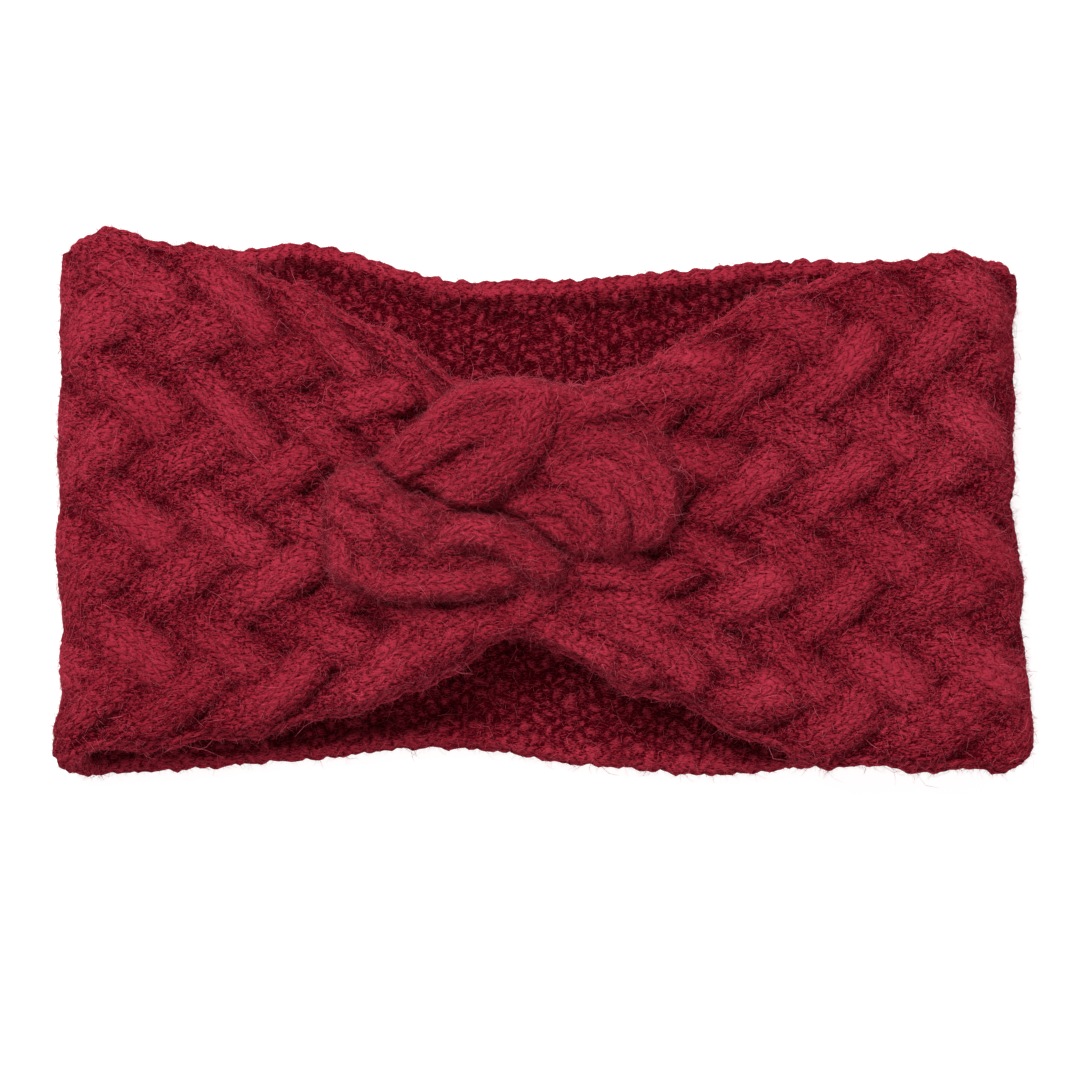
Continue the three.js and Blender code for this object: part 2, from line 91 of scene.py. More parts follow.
class Place(NamedTuple):
    """A point of a lobe's outline, in shares of half the knot's width and height."""

    x: float
    y: float


class Step(NamedTuple):
    """One point of a strand of the knot, in millimetres. level is above the gathered strip."""

    x: float
    y: float
    level: float


class Strand(NamedTuple):
    """A strand that shows in the knot: its width and its depth in millimetres, and its course."""

    width: float
    depth: float
    steps: tuple[Step, ...]


def table(kind: type, *rows: tuple[float, ...]) -> tuple:
    """Makes a table of one kind of row from plain numbers."""
    return tuple(kind(*row) for row in rows)


def strand(width: float, depth: float, *rows: tuple[float, float, float]) -> Strand:
    """Makes a strand from its width, its depth and rows of x, y and level, in millimetres."""
    return Strand(width, depth, table(Step, *rows))


FRONT_ROWS = table(
    FrontRow,
    (-0.90, 1.003, -0.915, 0.00, 0.00, 0.00), (-0.84, 0.974, -0.910, 0.02, 0.00, 0.06),
    (-0.70, 0.938, -0.882, 0.10, 0.05, 0.20), (-0.56, 0.826, -0.850, 0.25, 0.15, 0.40),
    (-0.42, 0.712, -0.784, 0.50, 0.40, 0.70), (-0.28, 0.584, -0.708, 0.80, 0.80, 1.00),
    (-0.16, 0.450, -0.600, 1.00, 1.00, 1.00), (-0.04, 0.440, -0.490, 1.00, 1.00, 1.00),
    (0.08, 0.412, -0.600, 1.00, 1.00, 1.00), (0.16, 0.470, -0.680, 0.95, 0.95, 1.00),
    (0.28, 0.574, -0.742, 0.80, 0.80, 1.00), (0.42, 0.734, -0.870, 0.50, 0.40, 0.70),
    (0.56, 0.808, -0.960, 0.25, 0.15, 0.40), (0.70, 0.878, -0.970, 0.10, 0.05, 0.20),
    (0.84, 0.908, -0.984, 0.02, 0.00, 0.06), (0.90, 0.890, -1.000, 0.00, 0.00, 0.00),
)

SIDE_ROWS = table(
    SideRow,
    (-1.00, 2.6, 2.4), (-0.86, 2.9, 3.0), (-0.72, 0.5, 1.8), (-0.30, 1.8, 0.8), (0.00, 2.6, -0.3),
    (0.40, 2.8, 0.3), (0.75, 3.1, 1.0), (1.00, 2.8, 1.4),
)

BACK_ROWS = table(
    BackRow,
    (-0.90, 0.935, -1.010), (-0.80, 0.935, -0.996), (-0.70, 0.936, -0.976), (-0.60, 0.932, -0.966),
    (-0.50, 0.958, -0.956), (-0.42, 0.928, -0.942), (-0.30, 0.868, -0.912), (-0.20, 0.818, -0.902),
    (-0.08, 0.818, -0.922), (0.04, 0.822, -0.962), (0.16, 0.832, -0.984), (0.28, 0.858, -0.996),
    (0.42, 0.876, -1.000), (0.56, 0.894, -0.976), (0.70, 0.878, -0.966), (0.90, 0.860, -0.978),
)

CREASE = table(
    Place,
    (-0.725, 0.307), (-0.555, 0.079), (-0.425, 0.062), (-0.310, -0.066), (-0.148, -0.097), (0.007, -0.131),
    (0.218, -0.348), (0.348, -0.469),
)

UPPER_RIM = table(
    Place,
    (0.577, -0.455), (0.836, -0.324), (0.927, 0.000), (0.930, 0.300), (0.780, 0.620), (0.480, 0.860),
    (0.277, 0.928), (0.064, 0.980), (-0.095, 0.965), (-0.250, 0.903), (-0.361, 0.806), (-0.480, 0.631),
    (-0.575, 0.524),
)

LOWER_RIM = table(
    Place,
    (0.300, -0.620), (0.150, -0.740), (-0.041, -0.810), (-0.309, -0.824), (-0.575, -0.852),
    (-0.789, -0.727), (-0.932, -0.607), (-0.975, -0.324), (-0.960, 0.020), (-0.900, 0.240),
)

UPPER_STRANDS = (
    strand(8.4, 8.5, (-38.0, 9.4, 1.2), (-33.8, 14.3, 2.8), (-27.4, 19.0, 4.2), (-21.1, 22.7, 5.2),
           (-13.4, 25.3, 5.8), (-5.2, 26.0, 6.0), (2.3, 24.6, 5.2), (9.4, 22.0, 3.2)),
    strand(6.6, 7.0, (-35.2, 7.5, 1.8), (-28.6, 12.9, 3.8), (-21.6, 17.4, 4.8), (-14.5, 20.2, 5.2),
           (-8.4, 21.8, 5.4)),
    strand(5.6, 8.0, (-32.8, 6.8, 2.4), (-26.3, 10.6, 4.6), (-19.0, 14.5, 5.6), (-13.1, 16.4, 5.8),
           (-7.5, 19.2, 5.6)),
    strand(13.6, 10.0, (-22.0, -0.5, 2.2), (-16.6, 3.5, 4.6), (-10.8, 8.0, 6.4), (-5.6, 12.7, 7.2),
           (-2.8, 17.8, 7.4), (-1.6, 22.7, 6.0)),
    strand(9.8, 8.5, (2.3, 15.5, 4.6), (7.5, 19.7, 5.4), (13.6, 22.7, 4.4), (20.2, 24.4, 2.6)),
    strand(8.0, 8.5, (2.1, 10.6, 4.0), (7.7, 12.9, 5.2), (14.1, 13.4, 5.6), (20.6, 10.8, 5.6),
           (26.0, 6.6, 5.2), (28.6, 0.9, 4.8), (28.6, -5.4, 4.0), (26.5, -10.8, 2.4)),
    strand(8.4, 8.5, (4.2, 6.3, 4.0), (11.3, 7.7, 5.4), (17.8, 5.4, 6.0), (22.5, 0.7, 5.8),
           (23.7, -5.4, 5.0), (22.0, -11.0, 3.0)),
    strand(8.0, 9.5, (8.9, 3.8, 4.2), (13.1, 2.1, 6.2), (16.2, -1.6, 7.0), (17.1, -6.8, 6.4),
           (15.9, -12.0, 3.4)),
    strand(7.0, 8.0, (-6.6, -2.3, 2.4), (-0.5, 0.0, 4.2), (5.6, -0.9, 5.0), (9.8, -5.2, 5.0),
           (11.3, -11.3, 3.0)),
    strand(6.6, 7.0, (-5.2, -5.6, 1.8), (0.9, -5.6, 3.2), (5.6, -8.0, 3.6), (8.4, -11.5, 2.4)),
)

LOWER_STRANDS = (
    strand(10.8, 9.5, (-46.4, 5.9, 2.4), (-43.1, 4.7, 4.4), (-38.9, 2.6, 4.6), (-35.2, -0.2, 2.8)),
    strand(9.4, 7.5, (-46.9, -1.4, 2.2), (-43.8, -4.2, 3.0), (-39.4, -7.0, 2.4)),
    strand(9.4, 10.0, (-36.1, -1.2, 2.8), (-32.4, -3.8, 5.6), (-28.6, -6.6, 5.6), (-25.8, -9.6, 3.0)),
    strand(9.4, 10.0, (-24.9, -9.1, 3.0), (-18.8, -7.0, 5.2), (-11.7, -7.7, 5.6), (-6.1, -10.6, 5.0),
           (-0.5, -13.8, 5.0), (3.3, -17.6, 4.0), (4.2, -21.1, 2.0)),
    strand(8.0, 9.0, (-46.9, -10.1, 2.2), (-46.7, -14.1, 4.0), (-44.5, -17.8, 3.0)),
    strand(5.6, 7.0, (-42.2, -12.7, 1.8), (-40.8, -16.9, 2.8), (-38.9, -20.6, 1.2)),
    strand(7.0, 6.0, (-39.4, -11.3, 1.4), (-32.8, -12.9, 1.8), (-23.9, -14.1, 1.8)),
    strand(8.0, 8.5, (-38.5, -19.9, 1.4), (-32.1, -19.5, 3.2), (-23.9, -19.2, 3.6), (-15.7, -18.3, 3.4),
           (-8.7, -16.9, 2.6)),
)

GATHERED_STRANDS = (
    strand(9.8, 7.5, (4.2, -17.8, 1.6), (-0.5, -22.5, 0.8), (-7.0, -26.3, 0.0), (-13.1, -29.1, -0.8)),
    strand(11.3, 7.5, (-17.4, -27.0, -1.0), (-23.0, -30.5, -1.2), (-28.6, -34.7, -1.8),
           (-34.7, -38.9, -2.6), (-42.2, -43.6, -3.6)),
    strand(7.5, 7.0, (11.3, -16.9, 0.2), (16.4, -16.9, 1.2), (22.0, -18.8, 1.2), (25.8, -20.6, 0.2)),
    strand(7.5, 7.0, (7.0, -24.6, -0.2), (13.6, -23.9, 0.8), (21.8, -24.2, 0.6), (29.5, -26.3, -0.2)),
    strand(10.3, 7.5, (0.5, -27.2, -0.8), (3.3, -30.5, 0.0), (8.9, -33.8, -0.2), (13.6, -35.9, -1.2)),
    strand(10.8, 8.0, (15.0, -28.1, -0.4), (22.0, -30.9, 0.0), (28.6, -35.2, -0.4), (34.7, -40.8, -1.4)),
    strand(10.8, 8.0, (12.7, 23.0, -0.6), (19.7, 24.9, 0.2), (26.7, 26.3, 0.0), (34.7, 27.2, -1.0),
           (40.8, 27.2, -2.4)),
)


@dataclass
class Stations:
    """Cross-sections of the ring: places of the wall's middle, outward directions and edges."""

    x: Array
    z: Array
    out_x: Array
    out_z: Array
    core: Array
    arch: Array
    top: Array
    foot: Array
    rim: Array
    curl: Array
    pitches: Array


def along(rows: tuple, column: str, x: Array) -> Array:
    """Smooth value of a table's column at x.

    Args:
        rows: The table, ordered by x.
        column: The name of the column.
        x: Where to read it.

    Returns:
        The column's value at each x.
    """
    at_rows = np.array([row.x for row in rows])
    value = np.array([getattr(row, column) for row in rows])
    at = np.clip(x, at_rows[0], at_rows[-1])
    i = np.clip(np.searchsorted(at_rows, at, side="left") - 1, 0, len(rows) - 2)
    before = np.maximum(i - 1, 0)
    after = np.minimum(i + 2, len(rows) - 1)
    span = at_rows[i + 1] - at_rows[i]
    share = (at - at_rows[i]) / span
    start = (value[i + 1] - value[before]) / (at_rows[i + 1] - at_rows[before]) * span
    end = (value[after] - value[i]) / (at_rows[after] - at_rows[i]) * span
    square = share**2
    cube = share**3
    return (
        (2 * cube - 3 * square + 1) * value[i]
        + (cube - 2 * square + share) * start
        + (3 * square - 2 * cube) * value[i + 1]
        + (cube - square) * end
    )


def smooth_step(value: Array, low: float, high: float) -> Array:
    """Rises smoothly from 0 at low to 1 at high."""
    share = np.clip((value - low) / (high - low), 0, 1)
    return share * share * (3 - 2 * share)


class Line(NamedTuple):
    """A straight relation: what it gives at 0, and how fast it rises."""

    level: float
    gain: float

    def at(self, value: Array) -> Array:
        """Reads the relation at each value."""
        return self.level + self.gain * value


class Lumps(NamedTuple):
    """Gentle unevenness of soft knitting: its height, a lump's length in millimetres, its seed."""

    height: float
    length: float
    seed: int

    def at(self, x: Array, y: Array, pattern: int) -> Array:
        """Reads the unevenness at places.

        Args:
            x: First coordinate, in millimetres.
            y: Second coordinate, in millimetres.
            pattern: Added to the seed, so that each surface has lumps of its own.

        Returns:
            The unevenness, to either side of 0.
        """
        rng = np.random.default_rng(self.seed + pattern)
        total = np.zeros(np.broadcast(x, y).shape)
        for _ in range(5):
            turn = rng.uniform(0, math.tau)
            wave = self.length * rng.uniform(0.7, 1.5)
            run = x * math.cos(turn) + y * math.sin(turn)
            total = total + np.sin(math.tau * run / wave + rng.uniform(0, math.tau))
        return self.height * (total / 3)


def smooth_line(points: Array, count: int) -> Array:
    """Resamples a smooth open curve through points at even lengths.

    Args:
        points: The points that the curve passes.
        count: How many points to return.

    Returns:
        The points of the curve, from the first to the last.
    """
    gaps = np.sqrt(np.linalg.norm(np.diff(points, axis=0), axis=1))
    knots = np.concatenate([[0], np.cumsum(gaps)])
    slopes = np.gradient(points, knots, axis=0)
    fine = np.linspace(0, knots[-1], 40 * len(points))
    i = np.clip(np.searchsorted(knots, fine) - 1, 0, len(points) - 2)
    span = (knots[i + 1] - knots[i])[:, None]
    share = ((fine - knots[i]) / span[:, 0])[:, None]
    curve = (
        (2 * share**3 - 3 * share**2 + 1) * points[i]
        + (share**3 - 2 * share**2 + share) * slopes[i] * span
        + (3 * share**2 - 2 * share**3) * points[i + 1]
        + (share**3 - share**2) * slopes[i + 1] * span
    )
    lengths = np.concatenate([[0], np.cumsum(np.linalg.norm(np.diff(curve, axis=0), axis=1))])
    even = np.linspace(0, lengths[-1], count)
    return np.stack([np.interp(even, lengths, curve[:, k]) for k in range(curve.shape[1])], axis=1)


@dataclass
class Relief:
    """Height of a soft surface over the gathered strip, and the place on the strand that shows."""

    height: Array
    aside: Array
    run: Array
    # body: how much of a strand's round shows there; the finish paints shade from it, darker in the valleys.
    body: Array
    step: float = 0.8
    roundness: float = 2.2
    fall: float = 2.0

    def lay(self, plan: Strand, x: Array, y: Array, blend: float) -> None:
        """Lays a strand on the surface, with a soft valley where it meets the others.

        Args:
            plan: The strand.
            x: Places of the surface, in millimetres.
            y: Places of the surface, in millimetres.
            blend: Softness of the valley, in millimetres.
        """
        course = np.array(plan.steps)
        reach = plan.width / 2
        near = (x > course[:, 0].min() - plan.width) & (x < course[:, 0].max() + plan.width)
        near &= (y > course[:, 1].min() - plan.width) & (y < course[:, 1].max() + plan.width)
        if not near.any():
            return
        count = int(np.linalg.norm(np.diff(course, axis=0), axis=1).sum() / self.step) + 2
        line = smooth_line(course, count)
        ahead = np.gradient(line[:, :2], axis=0)
        ahead /= np.linalg.norm(ahead, axis=1)[:, None]
        away = np.stack([x[near], y[near]], axis=-1)[:, None, :] - line[None, :, :2]
        nearest = np.argmin((away**2).sum(axis=2), axis=1)
        offset = away[np.arange(len(nearest)), nearest]
        heading = ahead[nearest]
        aside = heading[:, 0] * offset[:, 1] - heading[:, 1] * offset[:, 0]
        run = self.step * nearest + (heading * offset).sum(axis=1)
        share = np.linalg.norm(offset, axis=1) / reach
        bow = np.sqrt(np.clip(1 - share**self.roundness, 0, 1))
        beyond = np.maximum(share - 1, 0) * reach * self.fall
        height = line[nearest, 2] + plan.depth / 2 * bow - beyond
        old = self.height[near]
        soft = np.maximum(blend - np.abs(old - height), 0) ** 2 / (4 * blend)
        above = height > old
        self.height[near] = np.maximum(old, height) + soft
        self.aside[near] = np.where(above, aside, self.aside[near])
        self.run[near] = np.where(above, run, self.run[near])
        self.body[near] = np.where(above, np.minimum(bow**2, 1), self.body[near])


@dataclass(frozen=True)
class Yarn:
    """Sizes of the stitches, in millimetres, and their form in shares of a stitch."""

    wale: float = 3.5
    course: float = 2.75
    slant: float = 0.9
    knit_depth: float = 0.5
    purl_depth: float = 0.62
    leg_power: int = 3
    column_power: int = 5
    crease: Line = Line(0.65, 0.35)
    pit_level: float = 0.6
    purl_floor: float = 0.12
    loose_aside: Lumps = Lumps(0.1, 6, 0)
    loose_run: Lumps = Lumps(0.22, 8, 1)
    grain: Lumps = Lumps(0.13, 1.9, 0)

    def stitches(self, aside: Array, run: Array) -> Array:
        """Makes a stitch map, in wales and courses, from millimetres."""
        return np.stack([aside / self.wale, run / self.course], axis=-1)

    def knit(self, across: Array, run: Array) -> Array:
        """Height of plain stitches.

        Args:
            across: Place across the wales, in wales.
            run: Place along the wales, in courses.

        Returns:
            The height, from 0 in a pit to 1 on the yarn.
        """
        aside = np.abs(across - np.floor(across) - 0.5) * 2
        phase = run + self.slant * aside
        leg = 1 - np.abs(2 * (phase - np.floor(phase)) - 1) ** self.leg_power
        column = 1 - aside**self.column_power
        middle = smooth_step(aside, -0.1, 0.25)
        return leg * column * self.crease.at(middle)

    def purl(self, across: Array, run: Array) -> Array:
        """Height of purl stitches, in the same terms as the plain ones."""
        course = np.floor(run)
        ridge = np.sin(math.pi * (run - course))
        shift = 0.5 * np.mod(course, 2)
        bump = 0.5 + 0.5 * np.cos(math.tau * (across + shift))
        return ridge * (self.purl_floor + (1 - self.purl_floor) * bump)

    def knitted(
        self, stitch: Array, x: Array, y: Array, pattern: int, grain: int
    ) -> Array:
        """Loosens the stitch map, as hand knitting lies, and gives the stitches' height.

        Args:
            stitch: The stitch map, in wales and courses. It is changed.
            x: First coordinate, in millimetres.
            y: Second coordinate, in millimetres.
            pattern: Which pattern of loose stitches.
            grain: Which pattern of grain.

        Returns:
            The height over the strand, in millimetres.
        """
        stitch[..., 0] += self.loose_aside.at(x, y, pattern)
        stitch[..., 1] += self.loose_run.at(x, y, pattern)
        pits = self.knit(stitch[..., 0], stitch[..., 1])
        return self.knit_depth * (pits - self.pit_level) + self.grain.at(x, y, grain)


@dataclass(frozen=True)
class Plait:
    """The cables: rows of crossings that lean one way and the other in turn.

    Each crossing shows one strand as an oval. Sizes are shares of a row's height and of the pitch.
    """

    rows: int = 8
    rise: float = 5.2
    half_width: float = 0.54
    tucked_reach: float = 0.66
    blunt_reach: float = 0.51
    climb: float = 1.22
    sway: float = 0.12
    pairing: float = 0.05
    side_power: float = 2.3
    tucked_power: float = 1.7
    blunt_power: float = 3.4
    unevenness: float = 0.1
    fall: float = 0.25

    def field(
        self, pitches: Array, in_rows: Array, pitch: float, row_height: Array
    ) -> tuple[Array, Array, Array]:
        """Reads the plait at places of the strip.

        Args:
            pitches: Place along the strip, in crossings.
            in_rows: Place across the strip, in rows from the upper edge.
            pitch: Length of a crossing, in millimetres.
            row_height: Height of a row there, in millimetres.

        Returns:
            The rise from 0 in a groove to 1, and the place across and along the strand, in mm.
        """
        rise = np.zeros(pitches.shape)
        across = in_rows * row_height
        along_mm = pitches * pitch
        near_row = np.floor(in_rows)
        slope = self.climb * row_height / pitch
        cosine = 1 / np.sqrt(1 + slope**2)
        half_width = self.half_width * row_height
        length = pitch / cosine
        for step in (-1, 0, 1):
            row = near_row + step
            even = np.mod(row, 2) == 0
            lean = np.where(even, 1.0, -1.0)
            offset = np.where(even, 0.0, 0.5)
            centre = row + 0.5 + np.where(even, self.pairing, -self.pairing)
            nearest = np.round(pitches - offset)
            for more in (-1, 0, 1):
                crossing = offset + nearest + more
                right = (pitches - crossing) * pitch
                down = (in_rows - centre) * row_height
                run = (right + lean * slope * down) * cosine
                aside = (down - lean * slope * right) * cosine
                share = run / length
                aside = aside + lean * self.sway * half_width * np.sin(math.pi * share)
                tucked = np.abs(np.minimum(share, 0) / self.tucked_reach) ** self.tucked_power
                blunt = (np.maximum(share, 0) / self.blunt_reach) ** self.blunt_power
                body = 1 - np.abs(aside / half_width) ** self.side_power - tucked - blunt
                body = np.where((row >= 0) & (row < self.rows), body, -1)
                uneven = 1 + self.unevenness * np.sin(12.9 * row + 7.7 * crossing) + self.fall * share
                height = uneven * np.sqrt(np.clip(body, 0, 1))
                above = height > rise
                rise = np.where(above, height, rise)
                across = np.where(above, aside, across)
                along_mm = np.where(above, run, along_mm)
        return rise, across, along_mm


@dataclass
class Ring:
    """The lying ring that the strip makes. All lengths are millimetres."""

    overall_width: float = 229.0
    overall_height: float = 128.4
    hollow: float = 9.5
    knot_lift: float = 2.0
    side_flare: float = 0.014
    corner_dip: float = 1.0
    corner_lift: float = 1.8
    core: float = 4.6
    cable_rise: float = 3.0
    press: float = 1.0
    front_rim: float = 2.4
    back_rim: float = 3.3
    front_curl: float = 0.2
    back_curl: float = 1.2
    scallop: float = 0.7
    top_phase: float = 0.2
    foot_phase: float = -0.3
    side_from: float = 0.6
    rim_groove: float = 1.3
    gathered_core: float = 8.0
    gather_arch: float = 2.5
    knot_x: float = -8.0
    seat_half_width: float = 55.0
    loose: float = 4.5
    pitch: float = 21.7
    crossing_at: float = -94.0
    fold_pitches: float = 1.6
    ring_pitches: int = 22
    lower_plain: float = 0.8

    def __post_init__(self) -> None:
        """Works out the levels and the lengths round the ring."""
        self.half_width = self.overall_width / 2
        self.half_height = self.overall_height / 2
        groove = self.cable_rise - self.press
        self.back_middle = groove + self.core / 2
        self.front_inner = groove + self.core + self.hollow
        self.front_middle = self.front_inner + self.core / 2
        self.fold_radius = (self.front_middle - self.back_middle) / 2
        outer = self.cable_rise + self.core / 2 + self.fold_radius
        self.fold_x = self.half_width / (1 + self.side_flare) - outer
        self.seat = self.front_inner + self.knot_lift + self.gathered_core + self.gather_arch
        self.run = 2 * self.fold_x
        self.arc = math.pi * self.fold_radius
        self.round = 2 * self.run + 2 * self.arc

    def front(self, x: Array) -> dict[str, Array]:
        """Heights and edges of the front layer at x."""
        share = x / self.half_width
        core = self.core + (self.gathered_core - self.core) * along(FRONT_ROWS, "gather", share)
        inner = self.front_inner + self.knot_lift * along(FRONT_ROWS, "lift", share)
        arch = self.gather_arch * along(FRONT_ROWS, "arch", share)
        return {"z": inner + core / 2, "core": core, "arch": arch} | self.edges(FRONT_ROWS, share)

    def back(self, x: Array) -> dict[str, Array]:
        """Heights and edges of the back layer at x."""
        share = x / self.half_width
        flat = {"z": self.back_middle, "core": self.core, "arch": 0.0}
        return {name: np.full(x.shape, value) for name, value in flat.items()} | self.edges(BACK_ROWS, share)

    def edges(self, rows: tuple, share: Array) -> dict[str, Array]:
        """The upper and the lower edge of a layer."""
        return {name: self.half_height * along(rows, name, share) for name in ("top", "foot")}

    def stations(self, way: Array) -> Stations:
        """Cross-sections at lengths round the ring.

        Args:
            way: Lengths along the wall's middle from the left end of the front's flat run.

        Returns:
            The stations there. A way below zero lies on the left fold.
        """
        at = np.mod(way, self.round)
        right = self.run
        under = self.run + self.arc
        left = 2 * self.run + self.arc
        on_front = at < right
        on_right = (at >= right) & (at < under)
        on_back = (at >= under) & (at < left)
        side = np.where(on_front | on_right, 1.0, -1.0)
        turn = np.select(
            [on_front, on_right, on_back],
            [0 * at, (at - right) / self.arc, 0 * at + 1],
            1 - (at - left) / self.arc,
        )
        flat_x = np.select(
            [on_front, on_right, on_back],
            [at - self.fold_x, 0 * at + self.fold_x, self.fold_x - (at - under)],
            -self.fold_x,
        )
        angle = math.pi * turn
        blend = (1 - np.cos(angle)) / 2
        dip = self.corner_dip * np.sin(angle) ** 2
        settled = 1 - (1 - blend) ** 2
        front = self.front(flat_x)
        back = self.back(flat_x)
        mixed = {name: front[name] * (1 - blend) + back[name] * blend for name in front}
        mixed["foot"] = front["foot"] * (1 - settled) + back["foot"] * settled
        lift = np.where(side > 0, self.corner_lift, 0.0) * np.sin(angle) ** 2
        out_x = np.where(on_front | on_back, 0.0, side * np.sin(angle))
        knots = np.array([-self.arc, 0, right, under, left, self.round])
        start = -(self.crossing_at + self.fold_x) / self.pitch
        end = start + self.run / self.pitch
        counts = np.array(
            [
                start - self.fold_pitches,
                start,
                end,
                end + self.fold_pitches,
                start + self.ring_pitches - self.fold_pitches,
                start + self.ring_pitches,
            ]
        )
        pitches = np.interp(way, knots, counts)
        wave = self.scallop * (1 - blend)
        return Stations(
            x=flat_x + self.fold_radius * out_x,
            z=mixed["z"],
            out_x=out_x,
            out_z=np.cos(angle),
            core=mixed["core"],
            arch=mixed["arch"],
            top=mixed["top"] - dip + wave * np.cos(math.tau * (pitches + self.top_phase)),
            foot=mixed["foot"] + lift - wave * np.cos(math.tau * (pitches + self.foot_phase)),
            rim=self.front_rim + (self.back_rim - self.front_rim) * blend,
            curl=self.front_curl + (self.back_curl - self.front_curl) * blend**2,
            pitches=pitches,
        )

    def place(self, stations: Stations, y: Array, away: Array) -> Array:
        """Puts points at heights across the strip and distances out from the wall's middle.

        Args:
            stations: The cross-sections, one for each row of the arrays.
            y: Heights across the strip.
            away: Distances outwards.

        Returns:
            The points, in millimetres, with a last axis of three.
        """
        share = y / self.half_height
        x = (stations.x[:, None] + stations.out_x[:, None] * away) * (1 - self.side_flare * share)
        inner = self.side_from * self.fold_x
        left = along(SIDE_ROWS, "left", share) * smooth_step(-x, inner, self.fold_x)
        right = along(SIDE_ROWS, "right", share) * smooth_step(x, inner, self.fold_x)
        x = x + right - left
        z = np.maximum(0, stations.z[:, None] + stations.out_z[:, None] * away)
        over = (stations.out_z[:, None] == 1) & (np.abs(x - self.knot_x) < self.seat_half_width)
        z = np.where(over, np.minimum(z, self.seat + self.loose), z)
        return np.stack([x, y + 0 * x, z], axis=-1)


@dataclass
class Skin:
    """Points of a surface in rows and columns, with what its finish reads: a stitch map and a ridge value
    that sets painted shade.
    """

    points: Array
    stitch: Array
    ridge: Array
    face: Face


@dataclass
class BandPiece:
    """One stretch of the strip, from one length round the ring to another."""

    name: str
    start: float
    end: float
    cell: float
    inner_cell: float
    flat_length: float
    seed: int
    gathered: bool
    fibres: int


